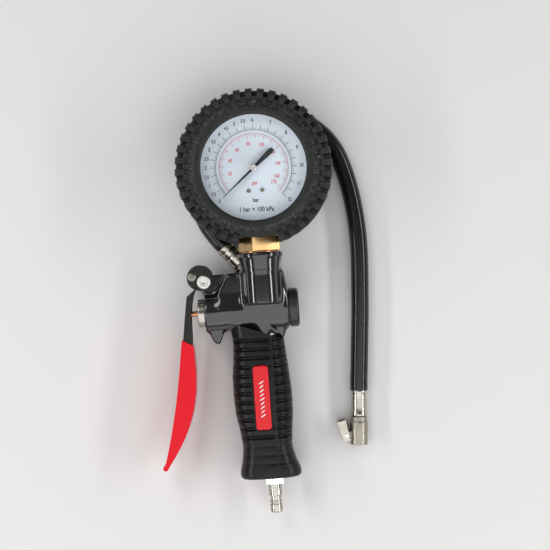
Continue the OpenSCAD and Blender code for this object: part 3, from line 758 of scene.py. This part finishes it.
def softbox(name, at, aim, size, power):
    """Rectangular light at a point in metres, aimed at another."""
    lamp = bpy.data.lights.new(name, "AREA")
    lamp.shape = "RECTANGLE"
    lamp.size, lamp.size_y = size
    lamp.energy = power
    obj = add_object(name, lamp)
    obj.location = at
    obj.rotation_euler = (Vector(aim) - Vector(at)).to_track_quat("-Z", "Y").to_euler()


class INFLATOR_OT_stage(bpy.types.Operator):
    """Make the camera, the pale floor and the soft studio light"""

    bl_idname = "inflator.stage"
    bl_label = "Stage"

    def execute(self, context):
        scene, look = context.scene, context.scene.inflator_studio
        lens = bpy.data.cameras.new("camera")
        lens.sensor_width = 36
        lens.lens = 18 / math.tan(math.radians(CAMERA_FIELD / 2))
        lens.clip_end = 20
        camera = add_object("camera", lens)
        camera.location = CAMERA_AT
        camera.rotation_euler = (0, 0, math.radians(CAMERA_TURN))
        scene.camera = camera
        reach = 3.0
        floor = add_object("floor", bpy.data.meshes.new("floor"))
        floor.data.from_pydata([(-reach, -reach, 0), (reach, -reach, 0), (reach, reach, 0),
                                (-reach, reach, 0)], [], [(0, 1, 2, 3)])
        material = bpy.data.materials.new("floor_card")
        material.use_nodes = True
        feed(material.node_tree, material.node_tree.nodes["Principled BSDF"],
             {"Base Color": (*look.floor_colour, 1), "Roughness": 0.6})
        floor.data.materials.append(material)
        world = bpy.data.worlds.new("room")
        world.use_nodes = True
        feed(world.node_tree, world.node_tree.nodes["Background"],
             {"Color": (0.96, 0.98, 1, 1), "Strength": look.room_light})
        scene.world = world
        scene.view_settings.view_transform = "Standard"
        middle = (0.03, 0.0, 0.02)
        # the overhead sheet ends above the valve chamber, so the chamber's lower half mirrors it
        for name, at, aim, size, power in (
                ("sheet", (0.02, -1.03, 1.6), (0.02, -1.03, 0), (2.6, 2.0), 24),
                ("sheet_front", (0.02, -2.08, 1.0), (0.02, 0, 0.6), (2.6, 1.1), 13),
                ("key", (-0.6, 1.0, 1.35), middle, (0.6, 0.6), 5),
                ("strip_left", (-1.0, -0.05, 0.64), middle, (1.5, 0.1), 6),
                ("strip_right", (1.08, -0.05, 0.64), middle, (1.5, 0.12), 7)):
            softbox(name, at, aim, size, power * look.soft_light)
        return {"FINISHED"}


# ---------- hose and chuck ----------


class INFLATOR_OT_chuck(bpy.types.Operator):
    """Make the clip-on chuck: ferrule, cast head, clip, pin and spring"""

    bl_idname = "inflator.chuck"
    bl_label = "Chuck"

    def execute(self, context):
        ferrule = soften([(3.2, 0), (5.9, 0), (6.0, -1.6), (5.55, -2.6), (5.5, -13), (5.75, -15.6),
                          (6.1, -17), (6.1, -18.2), (5.6, -18.7), (3.2, -18.7)],
                         [0.2, 0.6, 0.8, 0.8, 2, 1, 0.5, 0.3, 0.3, 0.2])
        place_piece(turned("chuck_crimp", ferrule, "Y", place=CHUCK), "nickel", "chuck_ferrule")
        head = shell_of("chuck_head", chuck_field, (-11, -40, -7), (7, -18, 7), 0.3, CHUCK)
        place_piece(head, "cast_nickel", "chuck_body")
        cad_piece("chuck_lever", "chuck_clip", "nickel", 0.35, body="clip")
        cad_piece("clip_axle", "clip_pin", "bright_steel", 0.15, 2)
        spring = flowing(coil(1.4, 1.06, 5, 12), 2)
        lie = CHUCK @ Matrix.Translation((-6.9, -26.4, 0)) @ Matrix.Rotation(-math.pi / 2, 4, "Y")
        coil_piece = place_piece(tube("clip_coil", spring, 0.3, 10, lie), "spring_steel",
                                 "clip_spring")
        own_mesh(coil_piece)
        finish_nodes("brass", "chuck_stem", "valve_depressor")
        finish_nodes("seal_rubber", "chuck_seal")
        return {"FINISHED"}


def chuck_field(x, y, z):
    """Cast chuck head: round body, collar, hinge lug and valve mouth."""
    body = rod(y, x, z, -39.2, -23, 6.3, 0.7)
    collar = rod(y, x, z, -24, -18.95, 5.7, 0.4)
    shoulder = rod(y, x, z, -25, -22.4, 6.0, 0.6)
    lug = inside_edge(np.maximum(np.abs(x + 6.7) - 3.5, np.abs(y + 32) - 2.2),
                      np.abs(z) - 3.2, 0.4)
    solid = blend(blend(blend(body, collar, 0.8), shoulder, 0.5), lug, 1.2)
    mouth = rod(y, x, z, -42, -29.2, 4.0, 0.01)
    solid = cut(solid, mouth, 0.5)
    tooth_way = np.maximum(np.maximum(np.abs(x + 7.25) - 3.75, np.abs(y + 35.9) - 2.1),
                           np.abs(z) - 2.4)
    solid = cut(solid, tooth_way, 0.3)
    pin_hole = np.hypot(x + 8.6, y + 32.5) - 1.02
    return np.maximum(solid, -pin_hole)


class INFLATOR_OT_hose(bpy.types.Operator):
    """Make the hose with its ferrule and fitting at the body"""

    bl_idname = "inflator.hose"
    bl_label = "Hose"

    def execute(self, context):
        path = flowing(HOSE_ROUTE, 8)
        hose = tube("air_hose", path, HOSE_DIAMETER / 2 - 0.02, 40)
        place_piece(hose, "hose_rubber", "hose")
        crimp = soften([(3, 0), (6.6, 0), (7, -0.7), (7, -3), (6.6, -3.6), (6.6, -4.6), (7, -5.2),
                        (7, -8), (6.6, -8.6), (6.6, -9.6), (7, -10.2), (7, -16.6), (6.4, -18),
                        (3, -18)], 0.5)
        place_piece(turned("hose_crimp", crimp, "Y", place=PORT), "nickel", "gun_ferrule")
        cad_piece("hose_union", "hose_fitting", "nickel", 0.4)
        return {"FINISHED"}


# ---------- gauge ----------


class INFLATOR_OT_boot(bpy.types.Operator):
    """Make the lugged rubber boot around the gauge"""

    bl_idname = "inflator.boot"
    bl_label = "Boot"

    def execute(self, context):
        sizes = context.scene.inflator_sizes
        rubber = "boot_rubber"
        outer, top, low = BOOT_RADIUS, BOOT_FRONT, BOOT_BACK
        floor_r = outer - 5.4
        profile = soften([(30, low), (46.5, low), (floor_r, low + 3.5), (floor_r, 29.6),
                          (outer - 0.6, 30.8), (outer - 0.1, 31.6), (outer - 0.1, 36.4),
                          (outer - 0.6, 37.2), (floor_r, 38.4), (floor_r, top - 4),
                          (47.6, top - 1.9), (45, top - 1.5), (42.2, top - 0.7),
                          (41.4, top - 0.1), (38.2, top - 0.3), (36.5, top - 1.5),
                          (36.5, top - 2.4), (40, top - 2.4), (40, 44), (38.5, 44),
                          (38.5, 17.5), (30, 17.5)],
                         [0.5, 2, 1, 0.8, 0.3, 0.3, 0.3, 0.3, 0.8, 1.6, 0.8, 0.8, 0.4, 0.4, 0.8,
                          0.4, 0.2, 0, 0, 0, 0, 0.3])
        tyre = turned("boot_tyre", profile, at=GAUGE, segments=192)
        notch_boot(tyre)
        sharpen(tyre, 42)
        count = sizes.boot_lugs
        pitch = 360 / count
        wide = TAU * outer / count - 3.5
        front = [(46.6, 39), (outer, 37), (outer, top - 4.2), (outer - 1.2, top - 1.6),
                 (outer - 3.2, top), (47.6, top - 0.4), (46.4, top - 2)]
        rear = [(46.6, 29), (outer, 31), (outer, low + 4.2), (outer - 1.2, low + 1.6),
                (outer - 3.2, low), (47.6, low + 0.2), (46.4, low + 2)]
        parts = [tyre]
        # the lugs leave room for the neck
        for name, side, left_out in (("front_lug", front, 3), ("rear_lug", rear, 4)):
            parts.append(repeat_round(block(name, side, wide - 1.1, wide, 0.45), rubber,
                                      count - left_out, 270 + pitch * (left_out + 1) / 2, pitch))
        inner = [(43.6, top - 2.2), (48.2, top - 3.4), (48.2, top - 1.0), (47.4, top - 0.4),
                 (44.2, top - 0.3), (43.4, top - 1)]
        parts.append(repeat_round(block("inner_block", inner, 3.1, 3.7, 0.3), rubber, count,
                                  pitch / 2, pitch))
        rib = [(40.6, top - 1.2), (45.2, top - 2.4), (45.2, top - 0.95), (42.4, top - 0.35),
               (41.2, top - 0.05), (40.8, top - 0.4)]
        parts.append(repeat_round(block("fine_rib", rib, 0.72, 0.8), rubber, sizes.fine_ribs, 0,
                                  360 / sizes.fine_ribs))
        place_piece(join("boot_rubber_tyre", parts), rubber, "gauge_boot")
        return {"FINISHED"}


def notch_boot(tyre):
    """Cuts the way for the neck and its coupling out of the bottom of the boot."""
    half = 15.5
    cutters = []
    for name, near, far, top in (("way", -37, -60, 46.5), ("mouth", -48, -60, 62)):
        cutter = make_mesh(name, [(GAUGE[0] + sx * half, GAUGE[1] + y, z) for sx in (-1, 1)
                                  for y in (near, far) for z in (0, top)],
                           [(0, 1, 3, 2), (4, 6, 7, 5), (0, 4, 5, 1), (2, 3, 7, 6), (0, 2, 6, 4),
                            (1, 5, 7, 3)])
        clip = tyre.modifiers.new(name, "BOOLEAN")
        clip.operation, clip.object, clip.solver = "DIFFERENCE", cutter, "EXACT"
        cutters.append(cutter)
    settle(tyre)
    for cutter in cutters:
        bpy.data.meshes.remove(cutter.data)


def dial_angle(sizes, share):
    """Angle of a share of the scale, in degrees from +X."""
    return math.degrees(sizes.zero_angle - sizes.sweep * share)


# Print on the dial: its height above the face, how far it reaches into it, the lean of its figures
# in degrees, how much their strokes swell, and the rings of the two scales
PRINT_HEIGHT, PRINT_SINK = 0.05, 0.02
PRINT_LEAN = -2
PRINT_SWELL = 0.026
BAR_RING, PSI_RING = 26.3, 24


def lettering(name, text, size, at, squeeze):
    """Flat printed figure centred on a point of the dial."""
    curve = bpy.data.curves.new(name, "FONT")
    curve.body = text
    curve.size = size * MM
    curve.align_x, curve.align_y = "CENTER", "CENTER"
    curve.extrude = PRINT_HEIGHT / 2 * MM
    curve.offset = PRINT_SWELL * size * MM
    curve.resolution_u = 3
    holder = add_object(name, curve)
    bpy.context.view_layer.update()
    mesh = bpy.data.meshes.new_from_object(
        holder.evaluated_get(bpy.context.evaluated_depsgraph_get()))
    bpy.data.objects.remove(holder)
    bpy.data.curves.remove(curve)
    spot = Vector((GAUGE[0] + at[0], GAUGE[1] + at[1], DIAL_FACE + PRINT_HEIGHT / 2)) * MM
    mesh.transform(local_frame(spot, PRINT_LEAN) @ Matrix.Diagonal((squeeze, 1, 1, 1)))
    return add_object(name, mesh)


def figures(values, full, sizes, radius, size):
    """Numbers of a scale on a ring of a radius. Halves are a little smaller."""
    parts = []
    for value in values:
        angle = math.radians(dial_angle(sizes, value / full))
        at = (radius * math.cos(angle), radius * math.sin(angle))
        tall = size if value == int(value) else size - 0.4
        parts.append(lettering("figure", f"{value:g}", tall, at, 0.74))
    return parts


def ticks(sizes, finish, number, inner, outer, width):
    """Printed ticks, one at every equal step of the scale and one at each end."""
    low, high = DIAL_FACE - PRINT_SINK, DIAL_FACE + PRINT_HEIGHT
    outline = [(inner, low), (outer, low), (outer, high), (inner, high)]
    start = dial_angle(sizes, 0)
    return repeat_round(block("tick", outline, width, width), finish, int(number) + 1, start,
                        dial_angle(sizes, 1 / number) - start)


def printed_arc(sizes, radius, width):
    """Thin printed arc along a scale."""
    steps = 180
    low, high = DIAL_FACE - PRINT_SINK, DIAL_FACE + PRINT_HEIGHT
    near, far = radius - width / 2, radius + width / 2
    verts = []
    for i in range(steps + 1):
        angle = math.radians(dial_angle(sizes, i / steps))
        for r, z in ((near, low), (far, low), (far, high), (near, high)):
            verts.append((GAUGE[0] + r * math.cos(angle), GAUGE[1] + r * math.sin(angle), z))
    return sharpen(make_mesh("arc", verts, skin_faces(steps + 1, 4)), 40)


def bar_scale(sizes):
    """Outer scale in bar, with its numbers and captions."""
    full, ink = sizes.full_scale, "print_black"
    parts = [ticks(sizes, ink, full * 10, BAR_RING, 28.1, 0.2),
             ticks(sizes, ink, full * 2, BAR_RING, 30, 0.36),
             printed_arc(sizes, BAR_RING, 0.28)]
    values = [v / 2 for v in range(13)] + list(range(7, int(full) + 1))
    parts += figures(values, full, sizes, sizes.label_radius / MM, 3.9)
    parts.append(lettering("unit", "bar", 4.0, (0, -22.4), 0.8))
    parts.append(lettering("note", "1 bar = 100 kPa", 4.5, (0, -28.8), 0.84))
    place_piece(join("scale_bar", parts), ink)


def psi_scale(sizes):
    """Inner scale in psi, with its numbers and caption."""
    full, ink = sizes.full_scale * PSI_IN_A_BAR, "print_red"
    parts = [ticks(sizes, ink, full / 2, 22.2, PSI_RING, 0.2),
             ticks(sizes, ink, full / 10, 20.5, PSI_RING, 0.32),
             printed_arc(sizes, PSI_RING, 0.26)]
    parts += figures([20, 40, 60, 80, 100, 120, 140, 160, 170], full, sizes, 16.9, 3.6)
    parts.append(lettering("unit", "psi", 4.1, (0, -10.4), 0.8))
    place_piece(join("scale_psi", parts), ink)


def gauge_round(name, node, finish, profile, segments=128, body=GUN):
    """Piece turned about the gauge's axis, with its edges kept crisp."""
    shape = turned(name, profile, at=GAUGE, segments=segments)
    place_piece(sharpen(shape, 40), finish, node, body=body)


class INFLATOR_OT_dial(bpy.types.Operator):
    """Make the dial with its two scales, the pointer and the lens"""

    bl_idname = "inflator.dial"
    bl_label = "Dial"

    def execute(self, context):
        sizes = context.scene.inflator_sizes
        disc = [(1.6, DIAL_FACE - 0.8), (37.3, DIAL_FACE - 0.8), (37.3, DIAL_FACE),
                (1.6, DIAL_FACE)]
        gauge_round("dial_disc", "gauge_dial", "dial_white", soften(disc, 0.1, 1))
        bar_scale(sizes)
        psi_scale(sizes)
        cad_piece("dial_fixings", "dial_screws", "aged_steel", 0.12, 2)
        cad_piece("needle_blade", "pointer", "pointer_black", 0.12, 2, body="needle")
        boss = soften([(0, 45.6), (1.2, 45.6), (1.2, 46.8), (2.3, 46.8), (2.3, 47.4), (2.0, 47.6),
                       (1.0, 47.6), (0.8, 47.35), (0, 47.35)],
                      [0, 0, 0, 0.1, 0.15, 0.15, 0.1, 0.1, 0])
        gauge_round("needle_hub", "pointer_hub", "bright_steel", boss, 48, "needle")
        glass = soften([(0, 48.4), (39, 48.4), (39, 50.6), (0, 50.6)], [0, 0.2, 0.2, 0], 2)
        gauge_round("lens_clear", "gauge_lens", "clear_lens", glass)
        rim = soften([(38.5, 44), (40, 44), (40, 51.6), (36.8, 51.6), (36.8, 50.6), (39, 50.6),
                      (39, 47), (38.5, 47)], 0.2, 2)
        gauge_round("bezel_rim", "bezel_ring", "black_enamel", rim)
        finish_nodes("seal_rubber", "lens_gasket")
        finish_nodes("black_enamel", "gauge_case")
        return {"FINISHED"}


class INFLATOR_OT_movement(bpy.types.Operator):
    """Finish the gauge's movement behind the dial"""

    bl_idname = "inflator.movement"
    bl_label = "Movement"

    def execute(self, context):
        finish_nodes("brass", "pinion_arbor", "sector_gear", "tip_link", "bourdon_tube",
                     "gauge_socket", "movement_plates", "movement_pillars", "hairspring")
        cad_piece("square_coupling", "gauge_coupling", "brass", 0.7)
        finish_nodes("copper_tone", "coupling_washer")
        return {"FINISHED"}


# ---------- body ----------


def casting_field(x, y, z):
    """Cast body: valve chamber, neck, hose boss, lever lug, guard hook and handle root."""
    chamber_across = y - CHAMBER_Y, z - CHAMBER_Z
    neck_across = x - NECK_X, z - NECK_Z
    chamber = rod(x, *chamber_across, -29.5, 29.4, 14, 1.3)
    block_outline = [(-20, -4.6), (-20, 9), (-13, 22.2), (27.3, 22.2), (29.4, 9), (29.4, -4.6)]
    middle = slab(x, y, z, soften(block_outline, 3), 7, 32, 2.5)
    neck = rod(y, *neck_across, 0, 30, 13, 0.5)
    flare = np.clip((y - 24) / 8.4, 0, 1)
    cone = rod(y, *neck_across, 22, 34.5, 13 + 2.8 * flare, 0.6)
    collar = rod(y, *neck_across, 32.2, 35.4, 15.8, 0.9)
    turn = math.radians(PORT_TURN)
    px, py = x - PORT_EXIT[0], y - PORT_EXIT[1]
    across = px * math.cos(turn) + py * math.sin(turn)
    along = py * math.cos(turn) - px * math.sin(turn)
    boss = rod(along, across, z - PORT_EXIT[2], -42, -24, 7.2, 0.6)
    lug_outline = [(-32.9, 13), (-24, 2), (-14, 2), (-13, 22), (-24.3, 21.8), (-28.7, 23.6),
                   (-33.4, 21.4), (-34.9, 17.4)]
    lug = slab(x, y, z, soften(lug_outline, 2.5), 14.2, 25.8, 0.8)
    hook_outline = [(-29.5, -8), (-28.9, -14.8), (-24.8, -25.4), (-21.4, -27.7), (-19.5, -25.5),
                    (-16.5, -17.5), (-13.2, -12), (-12, -4)]
    hook = slab(x, y, z, soften(hook_outline, 2), 12, 26, 2.2)
    root_outline = [(-20, -4.6), (-13.2, -12), (24.9, -26.3), (28.2, -16.5), (29.4, -4.6)]
    root = slab(x, y, z, soften(root_outline, 2), 4, 34, 1.5)
    lean = math.radians(24)
    for face in (z - 31.5, 3.5 - z):
        root = cut(root, (y + 8) * math.sin(lean) - face * math.cos(lean), 3)
    core = rod(y, x - 9, z - 17.5, -40, -4.6, 11.5, 0.8)
    solid = chamber
    for part, fillet in ((middle, 4), (blend(neck, blend(cone, collar, 1.5), 2), 5), (root, 4),
                         (boss, 2.5), (blend(hook, core, 1), 3), (lug, 2)):
        solid = blend(solid, part, fillet)
    fork = np.maximum(np.maximum(np.abs(x + 36.2) - 13.7, np.abs(y - 20) - 20),
                      np.abs(z - 20) - 3)
    solid = cut(solid, fork, 0.5)
    wrench_room = rod(along, across, z - PORT_EXIT[2], -24, -10, 8.6, 0.3)
    solid = cut(solid, wrench_room, 0.6)
    cap_seat = rod(x, *chamber_across, 29.4, 45, 14.6, 0.1)
    nut_seat = rod(x, *chamber_across, -45, -29.5, 12.5, 0.1)
    return np.maximum(solid, -np.minimum(cap_seat, nut_seat))


class INFLATOR_OT_casting(bpy.types.Operator):
    """Make the glossy cast body with its blended joins"""

    bl_idname = "inflator.casting"
    bl_label = "Body Casting"

    def execute(self, context):
        step = 0.62
        body = shell_of("cast_body", casting_field, (-36, -42, 1), (32, 38, 48), step)
        place_piece(body, "black_paint", "body_casting")
        return {"FINISHED"}


class INFLATOR_OT_valve(bpy.types.Operator):
    """Make the valve's end cap, gland nut, push pin and inner parts"""

    bl_idname = "inflator.valve"
    bl_label = "Valve"

    def execute(self, context):
        cad_piece("valve_cap", "end_cap", "dark_metal", 0.5)
        cad_piece("valve_gland", "gland_nut", "nickel", 0.5)
        cad_piece("valve_pin", "push_pin", "copper_tone", 0.25, body="valve")
        finish_nodes("seal_rubber", "end_cap_seal", "pin_seal", "valve_seat")
        finish_nodes("brass", "valve_poppet")
        left, right = span_of("valve_spring", 0)
        middle = centre_of("valve_spring")
        wire, turns = 0.6, 5
        lie = (Matrix.Translation((left + wire, middle[1], middle[2]))
               @ Matrix.Rotation(math.pi / 2, 4, "Y"))
        spring = flowing(coil(5, (right - left - 2 * wire) / turns, turns, 14), 2)
        coil_piece = place_piece(tube("valve_coil", spring, wire, 12, lie), "spring_steel",
                                 "valve_spring")
        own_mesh(coil_piece)
        return {"FINISHED"}


# ---------- lever ----------


class INFLATOR_OT_lever(bpy.types.Operator):
    """Make the pressed lever, its dipped sleeve, pivot, rivet and spring"""

    bl_idname = "inflator.lever"
    bl_label = "Lever"

    def execute(self, context):
        cad_piece("lever_pressing", "lever", "lever_steel", 0.45, body="lever")
        cad_piece("lever_dip", "lever_sleeve", "red_vinyl", 0.95, 4, 35, body="lever")
        low, high = span_of("stop_rivet", 2)
        outline = soften([(0, low), (3.1, low), (3.1, low + 1.2), (2.2, low + 1.2),
                          (2.2, high - 1.2), (3.1, high - 1.2), (3.1, high - 0.75),
                          (1.9, high), (0, high)], [0, 0.3, 0.3, 0, 0, 0.2, 0.5, 1.2, 0])
        rivet = turned("lever_stop", outline, at=centre_of("stop_rivet")[:2], segments=48)
        place_piece(rivet, "aged_steel", "stop_rivet", body="lever")
        low, high = span_of("pivot_pin", 2)
        outline = soften([(0, low), (3, low), (3, high - 2.1), (5, high - 2.1), (5, high - 0.9),
                          (4.2, high), (1.5, high - 0.1), (0.95, high - 0.75),
                          (0, high - 0.75)], [0, 0.4, 0, 0.2, 0.5, 0.8, 0.3, 0.3, 0])
        pivot = centre_of("pivot_pin")
        pin = turned("lever_pivot", outline, at=pivot[:2], segments=64)
        place_piece(pin, "bright_steel", "pivot_pin")
        finish_nodes("spring_steel", "pivot_clip")
        turns = np.vstack([coil(4.3, 1.15, 4, 12), (4.3, 1.6, 4.6), (4.3, 3.2, 4.6)])
        lie = local_frame((pivot[0], pivot[1], 17.7), -38)
        place_piece(tube("return_spring", flowing(turns, 2), 0.5, 12, lie), "spring_steel",
                    "lever_spring")
        return {"FINISHED"}


# ---------- handle ----------

# Grip stations from top to bottom: y, left edge, right edge, half thickness
GRIP_STATIONS = [
    (-6, -14, 25.5, 15.6), (-26, -11.4, 24.8, 15.8), (-38, -12, 25.8, 16.6),
    (-50, -13.4, 27, 17.2), (-64, -13.7, 27.9, 17.4), (-78, -12.9, 27.7, 17.3),
    (-90, -10.6, 26.4, 16.8), (-102, -9.3, 25.4, 16.4), (-112, -10.8, 28, 16.9),
    (-119, -12.7, 31.2, 17.3), (-123.3, -12, 30.6, 16.6),
]
GRIP_CENTRE_Z = 17.5
GRIP_CORNER, GRIP_TILT = (-13.2, -12, 0), -20.6
BADGE_AT, BADGE_SIZE = (6.7, -66), (10.9, 45)
STRIP_X = 14.9


def step_up(value, low, high):
    """Eased step from 0 to 1 between two values."""
    t = np.clip((value - low) / (high - low), 0, 1)
    return t * t * (3 - 2 * t)


def grip_surface(rows, sides, pitch, depth):
    """Points of the grip's skin, row by row, with its ribs, its smooth strip and badge frame."""
    stations = np.array(GRIP_STATIONS)
    y = np.linspace(stations[0, 0], stations[-1, 0], rows)
    left, right, half = (np.interp(-y, -stations[:, 0], stations[:, i]) for i in (1, 2, 3))
    kernel = np.hanning(2 * int(rows / 22) + 1)
    kernel /= kernel.sum()
    pad = len(kernel) // 2
    left, right, half = (np.convolve(np.pad(v, pad, mode="reflect", reflect_type="odd"), kernel,
                                     "valid") for v in (left, right, half))
    angle = np.linspace(0, TAU, sides, endpoint=False)
    c, s = np.cos(angle)[None, :], np.sin(angle)[None, :]
    squareness = 2.6
    power = 2 / squareness
    wide, mid = ((right - left) / 2)[:, None], ((right + left) / 2)[:, None]
    x = mid + wide * np.sign(c) * np.abs(c) ** power
    z = half[:, None] * np.sign(s) * np.abs(s) ** power
    yy = np.broadcast_to(y[:, None], x.shape)
    # outward direction of the section
    nx = np.sign(c) * np.abs(c) ** (2 - power) / wide
    nz = np.sign(s) * np.abs(s) ** (2 - power) / half[:, None]
    size = np.hypot(nx, nz)
    nx, nz = nx / size, nz / size
    # slanted walls that meet in a narrow floor
    across = 1 - np.abs(2 * np.mod((yy - BADGE_AT[1]) / pitch, 1.0) - 1)
    groove = np.clip((across - 0.44) / 0.46, 0, 1)
    groove = groove - 0.05 * np.sin(TAU * groove)
    front = z > 2
    frame_gap = inside_edge(np.abs(x - BADGE_AT[0]) - BADGE_SIZE[0] / 2,
                            np.abs(yy - BADGE_AT[1]) - BADGE_SIZE[1] / 2, 2.5)
    keep = np.where(front, step_up(frame_gap, 1.3, 2.0), 1.0)
    keep = np.where(front, keep * step_up(np.abs(x - STRIP_X), 0.9, 1.5), keep)
    fade = step_up(-yy, 20, 24) * (1 - 0.82 * step_up(-yy, 95, 99)) * step_up(yy, -119, -114)
    fade = fade * step_up(np.abs(z) / half[:, None], 0.28, 0.72)
    sink = depth * groove * keep * fade
    # finer second groove in the column beside the strip
    column = np.where(front & (x > 16.2) & (x < 25), 1.0, 0.0)
    second = step_up(0.5 - 0.5 * np.cos(TAU * (yy - BADGE_AT[1]) / pitch + math.pi), 0.86, 0.97)
    sink = sink + 0.35 * depth * second * column * fade
    # shallow bed round the badge, and a round at the toe
    bed_depth, toe_depth = 0.5, 1.1
    sink = sink + bed_depth * np.where(front, 1 - step_up(frame_gap, 0.0, 0.5), 0.0)
    sink = sink + toe_depth * step_up(-yy, 121.2, 123.3) ** 2
    return np.stack([x - sink * nx, yy, GRIP_CENTRE_Z + z - sink * nz], -1)


class INFLATOR_OT_grip(bpy.types.Operator):
    """Make the ribbed rubber grip and its badge"""

    bl_idname = "inflator.grip"
    bl_label = "Grip"

    def execute(self, context):
        sizes = context.scene.inflator_sizes
        rows, sides = ((430, 200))
        grid = grip_surface(rows, sides, sizes.rib_pitch / MM, sizes.groove_depth / MM)
        grip = make_mesh("grip_skin", grid.reshape(-1, 3), skin_faces(rows, sides))
        trim_grip(grip)
        place_piece(sharpen(grip, 50), "grip_rubber", "grip_sleeve")
        cad_piece("badge_shield", "badge_plate", "red_plastic", 0.9, 5, 40)
        place_piece(badge_mark(), "print_white")
        return {"FINISHED"}


def trim_grip(grip):
    """Cuts the slanted top of the grip and closes it."""
    lean = math.radians(GRIP_TILT)
    bm = bmesh.new()
    bm.from_mesh(grip.data)
    bmesh.ops.bisect_plane(bm, geom=bm.verts[:] + bm.edges[:] + bm.faces[:], dist=WELD,
                           plane_co=Vector(GRIP_CORNER) * MM,
                           plane_no=(-math.sin(lean), math.cos(lean), 0), clear_outer=True)
    open_edges = [e for e in bm.edges if e.is_boundary]
    bmesh.ops.holes_fill(bm, edges=open_edges, sides=0)
    bmesh.ops.recalc_face_normals(bm, faces=bm.faces)
    bm.to_mesh(grip.data)
    bm.free()
    smooth_faces(grip.data)


def badge_mark():
    """Plain printed mark of slanted bars on the badge."""
    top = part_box("badge_plate")[1].z / MM
    parts = []
    lean, thick = 0.9, 0.42
    for i, tall in enumerate((3.2, 2.4, 2.8, 2.4, 3.2, 2.4, 2.8, 2.4, 3.2)):
        offset, half = 2.9 * i - 12.5, tall / 2
        outline = soften([(-half, offset - lean - thick), (-half, offset - lean + thick),
                          (half, offset + lean + thick), (half, offset + lean - thick)], 0.3, 2)
        verts = [(BADGE_AT[0] + x, BADGE_AT[1] + y, z) for z in (top - PRINT_SINK, top + 0.04)
                 for x, y in outline]
        parts.append(sharpen(make_mesh("bar", verts, skin_faces(2, len(outline))), 40))
    return join("badge_bars", parts)


# ---------- air inlet ----------


class INFLATOR_OT_inlet(bpy.types.Operator):
    """Make the air inlet plug under the grip"""

    bl_idname = "inflator.inlet"
    bl_label = "Air Inlet"

    def execute(self, context):
        cad_piece("inlet_nipple", "inlet_plug", "nickel", 0.25)
        cad_piece("inlet_gasket", "inlet_washer", "seal_rubber", 0.2, 2)
        finish_nodes("brass", "inlet_filter")
        return {"FINISHED"}


# ---------- add-on ----------


class INFLATOR_PT_panel(bpy.types.Panel):
    """Steps that build the inflator"""

    bl_idname = "INFLATOR_PT_panel"
    bl_label = "Tyre Inflator"
    bl_space_type = "VIEW_3D"
    bl_region_type = "UI"
    bl_category = "Inflator"

    def draw(self, context):
        for settings in (context.scene.inflator_sizes, context.scene.inflator_studio):
            box = self.layout.box()
            for name in settings.__annotations__:
                box.prop(settings, name)
        for step in STEPS:
            self.layout.operator(step.bl_idname)


STEPS = (INFLATOR_OT_stage, INFLATOR_OT_chuck, INFLATOR_OT_hose, INFLATOR_OT_boot,
         INFLATOR_OT_dial, INFLATOR_OT_movement, INFLATOR_OT_casting, INFLATOR_OT_valve,
         INFLATOR_OT_lever, INFLATOR_OT_grip, INFLATOR_OT_inlet)
CLASSES = (InflatorSizes, InflatorStudio, *STEPS, INFLATOR_PT_panel)


def register():
    for cls in CLASSES:
        bpy.utils.register_class(cls)
    bpy.types.Scene.inflator_sizes = PointerProperty(type=InflatorSizes)
    bpy.types.Scene.inflator_studio = PointerProperty(type=InflatorStudio)


def unregister():
    del bpy.types.Scene.inflator_studio
    del bpy.types.Scene.inflator_sizes
    for cls in reversed(CLASSES):
        bpy.utils.unregister_class(cls)


def main():
    register()
    for step in STEPS:
        group, action = step.bl_idname.split(".")
        getattr(getattr(bpy.ops, group), action)()


if __name__ == "__main__":
    main()
